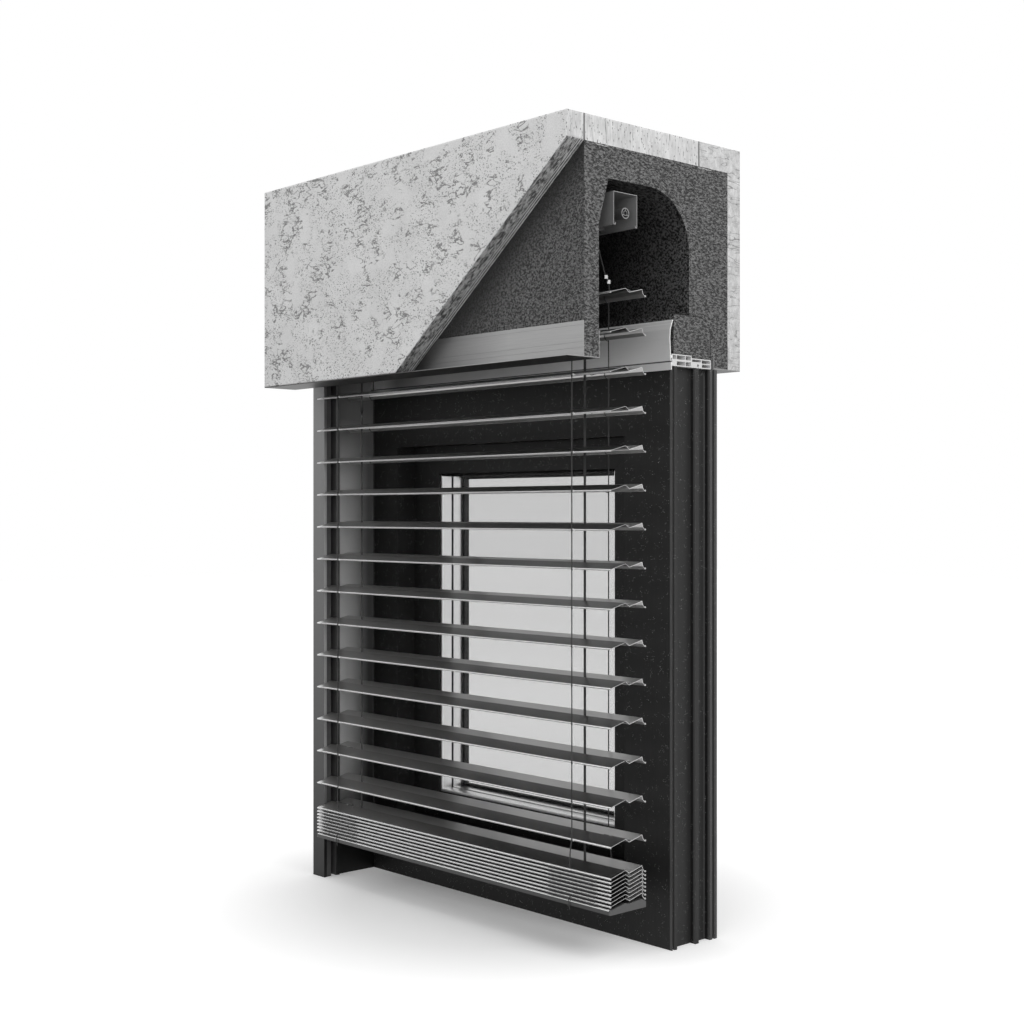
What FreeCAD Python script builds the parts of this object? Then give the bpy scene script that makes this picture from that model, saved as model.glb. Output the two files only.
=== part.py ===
import FreeCAD, Part
import math
import os

# External venetian blind in an insulated lintel box over a window, shown as a cutaway sample.
# All sizes are in millimetres. Along the sample, positions are measured leftwards from its
# right-hand end ("along"). In depth they are measured rearwards from the front of the coat.
# Heights are measured up from the floor. The frame has +X to the right, +Y to the rear, +Z up.

# The sample and its window frame
SAMPLE_WIDTH = 886.0
FRAME_HEIGHT = 1016.0
FRAME_SETBACK = 255.5
FRAME_DEPTH = 120.0
FRAME_SIDE_FACE = 114.0
FRAME_TOP_FACE = 117.0
FRAME_BOTTOM_FACE = 125.0
FRAME_GROOVE_DEPTH = 12.0
FRAME_GROOVES = [(1.4, 5.3), (13.3, 48.1), (70.5, 29.8), (107.4, 5.6)]

# Fixed light in the window: glazing frame, three panes, two spacers
GLAZING_SETBACK = 46.5
GLAZING_RIGHT_FACE = 69.0
GLAZING_LEFT_FACE = 82.0
GLAZING_TOP_FACE = 56.6
GLAZING_BOTTOM_FACE = 55.0
GLAZING_LIP = 4.0
GLAZING_BEAD_SIGHT = 10.0
PANE_THICKNESS = 4.0
PANE_GAP = 22.6
PANE_EDGE_COVER = 12.0
PANE_EDGE_CLEARANCE = 2.0
SPACER_SIGHT = 5.0
SPACER_EDGE = 4.0

# Insulated box and its thick coat
FRONT_COAT = 39.5
REAR_COAT = 34.5
TOP_COAT = 44.0
BOX_DEPTH = 365.0
BOX_HEIGHT = 354.4
SHELL_LIFT = 1.0
FRONT_LEG = 34.5
BOX_ROOF = 54.5
BOX_REAR_WALL = 104.5
VAULT_RADIUS = 101.5
SLANT_RUN = 22.8
SLANT_RISE = 78.3
REAR_SEAM = 113.0
CUT_RUN = 452.0
INSERT_FRONT = 259.0
INSERT_TOP = 91.0
INSERT_CORNER = 28.7
INSERT_CLEARANCE = 0.3
REAR_LEG_SETBACK = 38.5
SEAL_GAP = 7.7
CUT_MARGIN = 1.0
INSERT_CUT_DEPTH = 5.0

# Thin aluminium profiles of the box
FLANGE = 1.6
PROFILE_WALL = 1.5
FRONT_PROFILE_HEIGHT = 58.4
FRONT_PROFILE_INNER_HEIGHT = 44.0
FRONT_HOOK_SHARES = [0.55, 0.75]
FRONT_GROOVE_SHARES = [0.23, 0.39, 0.87]
PROFILE_GROOVE = 0.5
BARB_SETBACK = 15.0
BARB_HEIGHT = 9.0
REAR_PROFILE_HEIGHT = 42.0
REAR_PROFILE_INNER_HEIGHT = 25.0
ADAPTER_HEIGHT = 21.0
ADAPTER_STEP = 4.5
ADAPTER_STEP_SHARE = 0.496
ADAPTER_FIRST_SHARE = 0.102
ADAPTER_SECOND_SHARE = 0.331
ADAPTER_THIRD_SHARE = 0.749
SCREW_PORT_SHARE = 0.661
ADAPTER_WALL = 1.7
SCREW_PORT_RADIUS = 2.6
COVER_WALL = 1.8
COVER_HANG = 7.0
COVER_HEIGHT = 87.0
COVER_LIP = [(1.6, 0.0), (3.6, 4.0)]
COVER_BENDS = [(5.1, 70.0), (6.1, 55.0), (3.5, 16.0), (2.1, 13.0), (1.8, 0.0)]
COVER_RIBS = [2.0, 14.0]
COVER_RIB = 4.0
COVER_RIB_PROUD = 3.3

# Headrail, its hangers and what is inside it
HEADRAIL_WIDTH = 57.5
HEADRAIL_HEIGHT = 55.9
HEADRAIL_SHEET = 1.0
HEADRAIL_LIP = 4.5
HEADRAIL_LIP_CORNER = 1.0
HEADRAIL_DROP = 18.8
HEADRAIL_AHEAD = 37.3
HEADRAIL_END_INSET = 2.0
HANGER_FROM_RIGHT = 210.0
HANGER_FROM_LEFT = 226.0
HANGER_LENGTH = 30.0
HANGER_SHEET = 2.0
HANGER_PLATE = 3.0
HANGER_PLATE_REACH = 28.0
HANGER_GRIP = 14.0
HANGER_WEB_OFFSET = 9.0
HANGER_WEB = 3.0
SHAFT_RADIUS = 9.5
SHAFT_WALL = 2.0
SHAFT_BELOW_TOP = 34.1
SHAFT_PAST_LADDER = 14.0
PLUG_WEB = 1.4
PLUG_WEB_TURNS = [90.0, 210.0, 330.0]
SHAFT_CORE_RADIUS = 4.6
SHAFT_BORE_RADIUS = 3.5
SHAFT_PLUG_LENGTH = 30.0
RUNNING_CLEARANCE = 0.05
SPOOL_RADIUS = 13.0
SPOOL_WIDTH = 10.0
SPOOL_CORE_RADIUS = 10.8
SPOOL_RIM = 1.2
DRUM_RADIUS = 13.8
DRUM_WIDTH = 8.0
DRUM_GROOVE_DEPTH = 1.2
DRUM_GROOVE_WIDTH = 2.4
BLOCK_WALL = 3.0
BLOCK_STRIP = 5.0
BLOCK_FLOOR = 2.0
BLOCK_REACH = 10.0
BLOCK_LIP_CLEARANCE = 0.5
MOTOR_START = 330.0
MOTOR_LENGTH = 190.0
MOTOR_BELOW_SHAFT = 13.6
MOTOR_SIDE_GAP = 0.5
MOTOR_CORNER = 4.0
SOCKET_DEPTH = 12.0
SOCKET_CLEARANCE = 0.5
STOP_BUTTON_PLACE = 15.0
STOP_BUTTON_RADIUS = 7.0
STOP_BUTTON_THICKNESS = 4.0
STOP_STEM_RADIUS = 2.5
STOP_BUTTON_HANG = 6.3
STOP_STEM_INSIDE = 10.0
STOP_TRAVEL = 6.0
STOP_BUTTON_EDGE = 1.2
LIMIT_BUTTON_PLACES = [35.0, 50.0]
LIMIT_BUTTON_RADIUS = 3.0
LIMIT_BUTTON_PROUD = 3.0
LIMIT_BUTTON_INSIDE = 6.0
LIMIT_TRAVEL = 2.0
LIMIT_BUTTON_EDGE = 0.6
BUTTON_BORE_SPARE = 1.0

# Slats and how they hang
HANGING_SLATS = 15
STACKED_SLATS = 8
SLAT_START = 0.0
SLAT_GUIDE_GAP = 2.6
SLAT_SHEET = 0.7
SLAT_PITCH = 66.3
TOP_SLAT_DROP = 113.6
STACK_GAP = 52.5
STACK_PITCH = 6.65
PIN_LINE = 148.3
PIN_FROM_EDGE = 47.5
PIN_ABOVE_EDGE = 5.5
SLAT_BENDS = [(1.6, 0.0), (37.0, 8.8), (46.5, 2.9), (78.0, 10.8), (80.2, 3.7), (85.2, -0.9)]
FRONT_ROLL_RADIUS = 1.3
FRONT_ROLL_DROP = 1.04
REAR_ROLL_RADIUS = 1.6
REAR_ROLL_REACH = 1.12
REAR_ROLL_LIFT = 0.8
PIN_RADIUS = 1.8
PIN_HEAD_RADIUS = 3.5
PIN_HEAD = 3.0
PIN_LENGTH = 60.0
PIN_REACH = 28.0
PIN_RING_WALL = 0.8
PIN_RING_WIDTH = 5.0
PIN_RING_PLACES = [4.0, 42.0]
RING_CUT_MARGIN = 0.5

# Cords and tapes
LADDER_FROM_RIGHT = 90.0
LADDER_FROM_SLAT_END = 75.0
TAPE_FROM_RIGHT = 107.0
TAPE_FROM_SLAT_END = 91.0
CORD_RADIUS = 0.9
CORD_CLEARANCE = 0.4
CORD_DRUM_CLEARANCE = 0.3
CORD_BELOW_SHAFT = 3.6
CORD_ABOVE_SLAT = 3.0
CORD_END_ABOVE_STACK = 12.0
TAPE_WIDTH = 6.0
TAPE_THICKNESS = 0.5
TAPE_CLEARANCE = 0.3
SLOT_WIDTH = 7.2
SLOT_LENGTH = 9.4
SLOT_BELOW = 1.0
SLOT_ABOVE = 12.0

# Bottom rail
RAIL_BELOW_STACK = 6.6
RAIL_FRONT_HEIGHT = 8.0
RAIL_TOP_BENDS = [(0.0, 8.0), (37.0, 15.0), (46.5, 12.4), (78.0, 15.4), (87.9, 9.7)]
RAIL_WALL = 1.5
RAIL_SLOPE_SHARE = 1.1
RAIL_REAR_SHARE = 1.6
CAP_THICKNESS = 3.0

# Guide rail at the left-hand side
GUIDE_WIDTH = 39.4
GUIDE_FRONT = 120.8
GUIDE_HEAD_DEPTH = 40.2
GUIDE_FRONT_LIP = 6.9
GUIDE_CHANNEL = 25.3
GUIDE_BACK = 6.0
GUIDE_WALL = 1.6
GUIDE_LEG_INSET = 5.8
GUIDE_LEG_WALL = 2.0
GUIDE_BELOW_HEADRAIL = 3.8
GUIDE_LEG_BELOW_COVER = 4.0
GUIDE_LEG_AHEAD_OF_COVER = 8.0
LINER_SLOT_AHEAD = 8.6
LINER_SLOT_BEHIND = 4.2
LINER_BACK = 3.0
LINER_RECESS = 2.0

# Heights and depths that follow from the sizes above
shell_bottom = FRAME_HEIGHT + SHELL_LIFT
box_bottom = shell_bottom + FLANGE
box_top = box_bottom + BOX_HEIGHT
sample_height = box_top + TOP_COAT
box_front = FRONT_COAT
box_rear = box_front + BOX_DEPTH
sample_depth = box_rear + REAR_COAT
cavity_front = box_front + FRONT_LEG
cavity_rear = box_rear - BOX_REAR_WALL
ceiling = box_top - BOX_ROOF
insert_top = FRAME_HEIGHT + INSERT_TOP
rear_leg = box_rear - REAR_LEG_SETBACK
insert_rear = rear_leg - SEAL_GAP
adapter_depth = insert_rear - FRAME_SETBACK
adapter_step_depth = ADAPTER_STEP_SHARE * adapter_depth
frame_rear = FRAME_SETBACK + FRAME_DEPTH
cover_bottom = FRAME_HEIGHT - COVER_HANG
headrail_front = PIN_LINE - HEADRAIL_AHEAD
headrail_rear = headrail_front + HEADRAIL_WIDTH
headrail_top = ceiling - HEADRAIL_DROP
headrail_bottom = headrail_top - HEADRAIL_HEIGHT
shaft_depth = (headrail_front + headrail_rear) / 2
shaft_height = headrail_top - SHAFT_BELOW_TOP
slat_front = PIN_LINE - PIN_FROM_EDGE
first_slat = headrail_bottom - TOP_SLAT_DROP
last_slat = first_slat - (HANGING_SLATS - 1) * SLAT_PITCH
stack_top = last_slat - STACK_GAP
stack_bottom = stack_top - (STACKED_SLATS - 1) * STACK_PITCH
rail_bottom = stack_bottom - RAIL_BELOW_STACK - RAIL_FRONT_HEIGHT
guide_inner = SAMPLE_WIDTH - GUIDE_WIDTH
slat_end = guide_inner - SLAT_GUIDE_GAP
ladder_places = [LADDER_FROM_RIGHT, slat_end - LADDER_FROM_SLAT_END]
tape_places = [TAPE_FROM_RIGHT, slat_end - TAPE_FROM_SLAT_END]
hanger_places = [HANGER_FROM_RIGHT, SAMPLE_WIDTH - HANGER_FROM_LEFT]
guide_top = headrail_bottom - GUIDE_BELOW_HEADRAIL
channel_front = GUIDE_FRONT + GUIDE_FRONT_LIP
channel_rear = channel_front + GUIDE_CHANNEL
channel_end = SAMPLE_WIDTH - GUIDE_BACK


def point(along, depth, height):
    """Turn a place on the sample into the part's own frame."""
    return FreeCAD.Vector(SAMPLE_WIDTH / 2 - along, depth - sample_depth / 2, height)


def block(along, depth, height):
    """A block between two values along the sample, in depth and in height."""
    low = point(along[1], depth[0], height[0])
    return Part.makeBox(along[1] - along[0], depth[1] - depth[0], height[1] - height[0], low)


def face_of(points):
    """A flat face whose outline runs straight from each point to the next."""
    return Part.Face(Part.makePolygon(points + [points[0]]))


def extrusion(outline, along):
    """Extrude an outline of (depth, height) pairs along the sample."""
    start = along[1]
    face = face_of([point(start, depth, height) for depth, height in outline])
    return face.extrude(FreeCAD.Vector(along[1] - along[0], 0, 0))


def rod(radius, along, depth, height):
    """A round bar that lies along the sample."""
    base = point(along[1], depth, height)
    return Part.makeCylinder(radius, along[1] - along[0], base, FreeCAD.Vector(1, 0, 0))


def tube(radius, bore, along, depth, height):
    """A round tube that lies along the sample."""
    return rod(radius, along, depth, height).cut(rod(bore, along, depth, height))


def post(radius, along, depth, height):
    """A round bar that stands upright."""
    return Part.makeCylinder(radius, height[1] - height[0], point(along, depth, height[0]))


def cord_run(start, end, radius):
    """A straight round cord between two points of the frame."""
    way = end.sub(start)
    return Part.makeCylinder(radius, way.Length, start, way)


def rectangle(depth, height):
    """The outline of a rectangle given by its depth and height limits."""
    return [(depth[0], height[0]), (depth[1], height[0]), (depth[1], height[1]), (depth[0], height[1])]


def offset_point(before, here, after, distance):
    """Move a corner of a folded line sideways so that the sheet keeps its thickness."""
    normals = []
    for first, second in ((before, here), (here, after)):
        if first is None or second is None:
            continue
        run = second[0] - first[0]
        rise = second[1] - first[1]
        length = math.hypot(run, rise)
        normals.append((-rise / length, run / length))
    if len(normals) == 1:
        return (here[0] + normals[0][0] * distance, here[1] + normals[0][1] * distance)
    sum_x = normals[0][0] + normals[1][0]
    sum_y = normals[0][1] + normals[1][1]
    scale = 2 * distance / (sum_x ** 2 + sum_y ** 2)
    return (here[0] + sum_x * scale, here[1] + sum_y * scale)


def sheet_outline(bends, thickness):
    """The outline of a folded sheet whose middle line runs through the given bends."""
    sides = []
    for distance in (thickness / 2, -thickness / 2):
        side = []
        for index, here in enumerate(bends):
            before = bends[index - 1] if index > 0 else None
            after = bends[index + 1] if index + 1 < len(bends) else None
            side.append(offset_point(before, here, after, distance))
        sides.append(side)
    return sides[0] + sides[1][::-1]


def fused(solids):
    """Join solids that are one piece on the real object."""
    if len(solids) == 1:
        return solids[0]
    return solids[0].fuse(solids[1:]).removeSplitter()


def save(name, solids):
    """Write one node, which may hold several alike solids."""
    shape = solids[0] if len(solids) == 1 else Part.makeCompound(solids)
    shape.exportStep("parts/" + name + ".step")
    print(name, "solids", len(shape.Solids), "valid", shape.isValid(), "volume", round(shape.Volume))


def make_insulation_box():
    """The insulated box with its vaulted hollow, open below."""
    whole = (0.0, SAMPLE_WIDTH)
    body = extrusion(rectangle((box_front, box_rear), (box_bottom, box_top)), whole)
    slant_foot = ceiling - SLANT_RISE
    vault_centre = (cavity_rear - VAULT_RADIUS, ceiling - VAULT_RADIUS)
    corner = math.sqrt(0.5) * VAULT_RADIUS
    places = [
        (cavity_rear, vault_centre[1]),
        (cavity_rear, insert_top),
        (cavity_rear, box_bottom - CUT_MARGIN),
        (cavity_front, box_bottom - CUT_MARGIN),
        (cavity_front, slant_foot),
        (cavity_front + SLANT_RUN, ceiling),
        (vault_centre[0], ceiling),
    ]
    points = [point(0, depth, height) for depth, height in places]
    edges = [Part.LineSegment(first, second).toShape() for first, second in zip(points, points[1:])]
    middle = point(0, vault_centre[0] + corner, vault_centre[1] + corner)
    edges.append(Part.Arc(points[-1], middle, points[0]).toShape())
    hollow = Part.Face(Part.Wire(edges)).extrude(FreeCAD.Vector(-SAMPLE_WIDTH, 0, 0))
    body = body.cut(hollow)
    body = body.cut(insert_shape(INSERT_CLEARANCE, whole))
    notch_top = FRAME_HEIGHT + ADAPTER_HEIGHT - ADAPTER_STEP
    notch = rectangle((cavity_rear - CUT_MARGIN, rear_leg), (box_bottom - CUT_MARGIN, notch_top))
    body = body.cut(extrusion(notch, whole))
    for outline in (barb_outline(), rear_inner_leg_outline()):
        body = body.cut(extrusion(outline, whole))
    return body


def insert_shape(margin, along):
    """The loose insulation strip over the window frame, grown by a margin when it is a cutter."""
    adapter_top = FRAME_HEIGHT + ADAPTER_HEIGHT
    step_top = adapter_top - ADAPTER_STEP
    step = FRAME_SETBACK + adapter_step_depth
    front = INSERT_FRONT - margin
    rear = insert_rear + margin
    top = insert_top + margin
    radius = INSERT_CORNER + margin
    centre = (insert_rear - INSERT_CORNER, insert_top - INSERT_CORNER)
    corner = math.sqrt(0.5) * radius
    foot = step_top if margin == 0 else step_top - INSERT_CUT_DEPTH
    step_height = adapter_top if margin == 0 else foot
    places = [(centre[0], top), (front, top), (front, step_height)]
    if margin == 0:
        places += [(step, adapter_top), (step, foot)]
    places += [(rear, foot), (rear, centre[1])]
    points = [point(along[0], depth, height) for depth, height in places]
    edges = [Part.LineSegment(first, second).toShape() for first, second in zip(points, points[1:])]
    middle = point(along[0], centre[0] + corner, centre[1] + corner)
    edges.append(Part.Arc(points[-1], middle, points[0]).toShape())
    face = Part.Face(Part.Wire(edges))
    return face.extrude(FreeCAD.Vector(along[0] - along[1], 0, 0))


def barb_outline():
    """The barb of the front profile that holds in the insulation."""
    start = box_front + BARB_SETBACK
    return rectangle((start, start + PROFILE_WALL), (shell_bottom, box_bottom + BARB_HEIGHT))


def rear_inner_leg_outline():
    """The short leg of the rear profile along the insulation's rear leg."""
    top = box_bottom + REAR_PROFILE_INNER_HEIGHT
    return rectangle((rear_leg, rear_leg + PROFILE_WALL), (shell_bottom, top))


def make_render_front():
    """The front coat, cut away below a slanting line so that the blind shows."""
    outline = [
        (0.0, sample_height),
        (0.0, box_top),
        (CUT_RUN, box_bottom),
        (SAMPLE_WIDTH, box_bottom),
        (SAMPLE_WIDTH, sample_height),
    ]
    face = face_of([point(along, 0.0, height) for along, height in outline])
    coat = face.extrude(FreeCAD.Vector(0, FRONT_COAT, 0))
    leg = (box_bottom - CUT_MARGIN, front_leg_top())
    return coat.cut(block((0.0, SAMPLE_WIDTH), (box_front - PROFILE_WALL, box_front), leg))


def make_render_top():
    """The coat over the box, between the front and the rear coat."""
    return block((0.0, SAMPLE_WIDTH), (box_front, sample_depth - REAR_SEAM), (box_top, sample_height))


def make_render_rear():
    """The rear coat, which turns over the top of the box."""
    seam = sample_depth - REAR_SEAM
    outline = [
        (seam, box_top),
        (seam, sample_height),
        (sample_depth, sample_height),
        (sample_depth, box_bottom),
        (box_rear, box_bottom),
        (box_rear, box_top),
    ]
    coat = extrusion(outline, (0.0, SAMPLE_WIDTH))
    leg_height = (box_bottom - CUT_MARGIN, box_bottom + REAR_PROFILE_HEIGHT)
    leg = rectangle((box_rear, box_rear + PROFILE_WALL), leg_height)
    return coat.cut(extrusion(leg, (0.0, SAMPLE_WIDTH)))


def front_leg_top():
    """The top of the front profile's outer leg."""
    return box_bottom + FRONT_PROFILE_HEIGHT


def make_front_base_profile():
    """The thin profile under the front leg of the box, with two legs and a barb."""
    whole = (0.0, SAMPLE_WIDTH)
    inner = cavity_front + PROFILE_WALL
    inner_top = box_bottom + FRONT_PROFILE_INNER_HEIGHT
    outlines = [
        rectangle((0.0, inner), (shell_bottom, box_bottom)),
        rectangle((box_front - PROFILE_WALL, box_front), (shell_bottom, front_leg_top())),
        rectangle((cavity_front, inner), (shell_bottom, inner_top)),
        barb_outline(),
    ]
    for rise in FRONT_HOOK_SHARES:
        height = box_bottom + rise * FRONT_PROFILE_INNER_HEIGHT
        outlines.append(rectangle((cavity_front, inner + PROFILE_WALL), (height, height + PROFILE_WALL)))
    outlines.append(rectangle((cavity_front, inner + PROFILE_WALL), (inner_top - PROFILE_WALL, inner_top)))
    profile = fused([extrusion(outline, whole) for outline in outlines])
    face = box_front - PROFILE_WALL
    for rise in FRONT_GROOVE_SHARES:
        height = box_bottom + rise * FRONT_PROFILE_HEIGHT
        groove = rectangle((face, face + PROFILE_GROOVE), (height, height + 2 * PROFILE_GROOVE))
        profile = profile.cut(extrusion(groove, whole))
    return profile


def make_rear_base_profile():
    """The thin profile under the rear leg of the box."""
    outlines = [
        rectangle((rear_leg, sample_depth), (shell_bottom, box_bottom)),
        rear_inner_leg_outline(),
        rectangle((box_rear, box_rear + PROFILE_WALL), (shell_bottom, box_bottom + REAR_PROFILE_HEIGHT)),
    ]
    return fused([extrusion(outline, (0.0, SAMPLE_WIDTH)) for outline in outlines])


def make_inner_cover_profile():
    """The light cover strip behind the blind, flared at its top and hung over the frame."""
    top = cover_bottom + COVER_HEIGHT
    bends = [(INSERT_FRONT - ahead, top - drop) for ahead, drop in COVER_LIP]
    bends += [(FRAME_SETBACK - ahead, cover_bottom + rise) for ahead, rise in COVER_BENDS]
    solids = [extrusion(sheet_outline(bends, COVER_WALL), (0.0, SAMPLE_WIDTH))]
    for rise in COVER_RIBS:
        low = FRAME_HEIGHT + rise
        rib = rectangle((FRAME_SETBACK - COVER_RIB_PROUD, FRAME_SETBACK), (low, low + COVER_RIB))
        solids.append(extrusion(rib, (0.0, SAMPLE_WIDTH)))
    return fused(solids)


def adapter_chambers():
    """The chambers of the adapter profile, as depth and height limits from its front foot."""
    wall = ADAPTER_WALL
    middle = ADAPTER_HEIGHT / 2
    top = ADAPTER_HEIGHT - wall
    low_top = ADAPTER_HEIGHT - ADAPTER_STEP - wall
    first = ADAPTER_FIRST_SHARE * adapter_depth
    second = ADAPTER_SECOND_SHARE * adapter_depth
    third = ADAPTER_THIRD_SHARE * adapter_depth
    step = adapter_step_depth
    return [
        ((wall, first), (middle + wall, top)),
        ((first + wall, second), (middle + wall, top)),
        ((second + wall, step - wall), (middle + wall, top)),
        ((first + wall, second), (wall, middle - wall)),
        ((second + wall, step - wall), (wall, middle - wall)),
        ((step + wall, third), (middle, low_top)),
        ((third + wall, adapter_depth - wall), (middle - wall, low_top)),
        ((third + wall, adapter_depth - wall), (wall, middle - 2 * wall)),
    ]


def make_frame_adapter_profile():
    """The many-chambered profile between the window frame and the box."""
    whole = (0.0, SAMPLE_WIDTH)
    foot = FRAME_HEIGHT
    step = FRAME_SETBACK + adapter_step_depth
    rear = FRAME_SETBACK + adapter_depth
    outline = [
        (FRAME_SETBACK, foot),
        (FRAME_SETBACK, foot + ADAPTER_HEIGHT),
        (step, foot + ADAPTER_HEIGHT),
        (step, foot + ADAPTER_HEIGHT - ADAPTER_STEP),
        (rear, foot + ADAPTER_HEIGHT - ADAPTER_STEP),
        (rear, foot),
    ]
    profile = extrusion(outline, whole)
    for depth, height in adapter_chambers():
        near = (FRAME_SETBACK + depth[0], FRAME_SETBACK + depth[1])
        rise = (foot + height[0], foot + height[1])
        profile = profile.cut(extrusion(rectangle(near, rise), whole))
    port_depth = FRAME_SETBACK + SCREW_PORT_SHARE * adapter_depth
    port_height = foot + ADAPTER_WALL + SCREW_PORT_RADIUS
    return profile.cut(rod(SCREW_PORT_RADIUS, whole, port_depth, port_height))


def make_headrail():
    """The folded headrail, open below between two turned-in lips."""
    half = HEADRAIL_SHEET / 2
    front = headrail_front + half
    rear = headrail_rear - half
    low = headrail_bottom + half
    high = headrail_top - half
    flat = HEADRAIL_LIP - HEADRAIL_LIP_CORNER
    bends = [
        (front + HEADRAIL_LIP, low + flat),
        (front + flat, low),
        (front, low),
        (front, high),
        (rear, high),
        (rear, low),
        (rear - flat, low),
        (rear - HEADRAIL_LIP, low + flat),
    ]
    length = (HEADRAIL_END_INSET, SAMPLE_WIDTH - HEADRAIL_END_INSET)
    return extrusion(sheet_outline(bends, HEADRAIL_SHEET), length)


def make_hanger(place):
    """A hanger that grips the top of the headrail and is screwed to the ceiling of the box."""
    along = (place - HANGER_LENGTH / 2, place + HANGER_LENGTH / 2)
    middle = (headrail_front + headrail_rear) / 2
    front = (headrail_front - HANGER_SHEET, headrail_front)
    rear = (headrail_rear, headrail_rear + HANGER_SHEET)
    strap_top = headrail_top + HANGER_SHEET
    inner = HANGER_WEB_OFFSET
    outer = HANGER_WEB_OFFSET + HANGER_WEB
    plate = (middle - HANGER_PLATE_REACH, middle + HANGER_PLATE_REACH)
    outlines = [
        rectangle((front[0], rear[1]), (headrail_top, strap_top)),
        rectangle(front, (headrail_top - HANGER_GRIP, strap_top)),
        rectangle(rear, (headrail_top - HANGER_GRIP, strap_top)),
        rectangle((middle - outer, middle - inner), (headrail_top, ceiling)),
        rectangle((middle + inner, middle + outer), (headrail_top, ceiling)),
        rectangle(plate, (ceiling - HANGER_PLATE, ceiling)),
    ]
    return fused([extrusion(outline, along) for outline in outlines])


def make_bearing_block(ladder, tape):
    """A bearing block over one ladder, with a bore for the shaft in each end wall."""
    low = min(ladder, tape) - BLOCK_REACH
    high = max(ladder, tape) + BLOCK_REACH
    inside = (headrail_front + HEADRAIL_SHEET, headrail_rear - HEADRAIL_SHEET)
    floor = headrail_bottom + HEADRAIL_LIP + BLOCK_LIP_CLEARANCE
    roof = headrail_top - HEADRAIL_SHEET
    solids = [
        block((low, low + BLOCK_WALL), inside, (floor, roof)),
        block((high - BLOCK_WALL, high), inside, (floor, roof)),
        block((low, high), (inside[0], inside[0] + BLOCK_STRIP), (floor, floor + BLOCK_FLOOR)),
        block((low, high), (inside[1] - BLOCK_STRIP, inside[1]), (floor, floor + BLOCK_FLOOR)),
        block((low, high), (inside[0], inside[1]), (roof - BLOCK_FLOOR, roof)),
    ]
    body = fused(solids)
    bore = (low - CUT_MARGIN, high + CUT_MARGIN)
    return body.cut(rod(SHAFT_RADIUS + RUNNING_CLEARANCE, bore, shaft_depth, shaft_height))


def make_spool(place):
    """A tape spool on the shaft, with a rim at each side."""
    low = place - SPOOL_WIDTH / 2
    high = place + SPOOL_WIDTH / 2
    parts = [rod(SPOOL_CORE_RADIUS, (low, high), shaft_depth, shaft_height)]
    for start in (low, high - SPOOL_RIM):
        parts.append(rod(SPOOL_RADIUS, (start, start + SPOOL_RIM), shaft_depth, shaft_height))
    return parts


def make_shaft(along, tape, plug):
    """One length of the round drive shaft with its tape spool, and a plug where its end is open."""
    solids = [rod(SHAFT_RADIUS, along, shaft_depth, shaft_height)] + make_spool(tape)
    shaft = fused(solids).cut(rod(SHAFT_RADIUS - SHAFT_WALL, along, shaft_depth, shaft_height))
    if not plug:
        return shaft
    reach = (along[0], along[0] + SHAFT_PLUG_LENGTH)
    core = rod(SHAFT_CORE_RADIUS, reach, shaft_depth, shaft_height)
    span = SHAFT_RADIUS - SHAFT_WALL / 2
    web_height = (shaft_height - PLUG_WEB / 2, shaft_height + PLUG_WEB / 2)
    webs = []
    for turn in PLUG_WEB_TURNS:
        web = block(reach, (shaft_depth, shaft_depth + span), web_height)
        web.rotate(point(0, shaft_depth, shaft_height), FreeCAD.Vector(1, 0, 0), turn)
        webs.append(web)
    return fused([shaft, core] + webs).cut(rod(SHAFT_BORE_RADIUS, reach, shaft_depth, shaft_height))


def make_tilt_drum(place):
    """A tilt drum that turns on the shaft and carries the two cords of a ladder."""
    along = (place - DRUM_WIDTH / 2, place + DRUM_WIDTH / 2)
    drum = tube(DRUM_RADIUS, SHAFT_RADIUS + RUNNING_CLEARANCE, along, shaft_depth, shaft_height)
    width = (place - DRUM_GROOVE_WIDTH / 2, place + DRUM_GROOVE_WIDTH / 2)
    bottom = DRUM_RADIUS - DRUM_GROOVE_DEPTH
    groove = tube(DRUM_RADIUS + CUT_MARGIN, bottom, width, shaft_depth, shaft_height)
    return drum.cut(groove)


def make_motor():
    """The motor in the middle of the headrail, with a socket for each length of shaft."""
    along = (MOTOR_START, MOTOR_START + MOTOR_LENGTH)
    inset = HEADRAIL_SHEET + MOTOR_SIDE_GAP
    under = shaft_height - MOTOR_BELOW_SHAFT
    depth = (headrail_front + inset, headrail_rear - inset)
    body = block(along, depth, (under, headrail_top - HEADRAIL_SHEET))
    long_edges = [edge for edge in body.Edges if edge.BoundBox.XLength > MOTOR_LENGTH / 2]
    body = body.makeFillet(MOTOR_CORNER, long_edges)
    bore = SHAFT_RADIUS + RUNNING_CLEARANCE
    for start in (along[0], along[1] - SOCKET_DEPTH):
        body = body.cut(rod(bore, (start, start + SOCKET_DEPTH), shaft_depth, shaft_height))
    stop = stop_button_place()
    stop_bore = STOP_STEM_INSIDE + STOP_TRAVEL + BUTTON_BORE_SPARE
    body = body.cut(post(STOP_STEM_RADIUS + RUNNING_CLEARANCE, stop, shaft_depth, (under, under + stop_bore)))
    limit_bore = LIMIT_BUTTON_INSIDE + LIMIT_TRAVEL + BUTTON_BORE_SPARE
    for place in LIMIT_BUTTON_PLACES:
        where = MOTOR_START + place
        radius = LIMIT_BUTTON_RADIUS + RUNNING_CLEARANCE
        body = body.cut(post(radius, where, shaft_depth, (under, under + limit_bore)))
    return body


def stop_button_place():
    """Where the stop button hangs along the sample."""
    return MOTOR_START + STOP_BUTTON_PLACE


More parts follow.
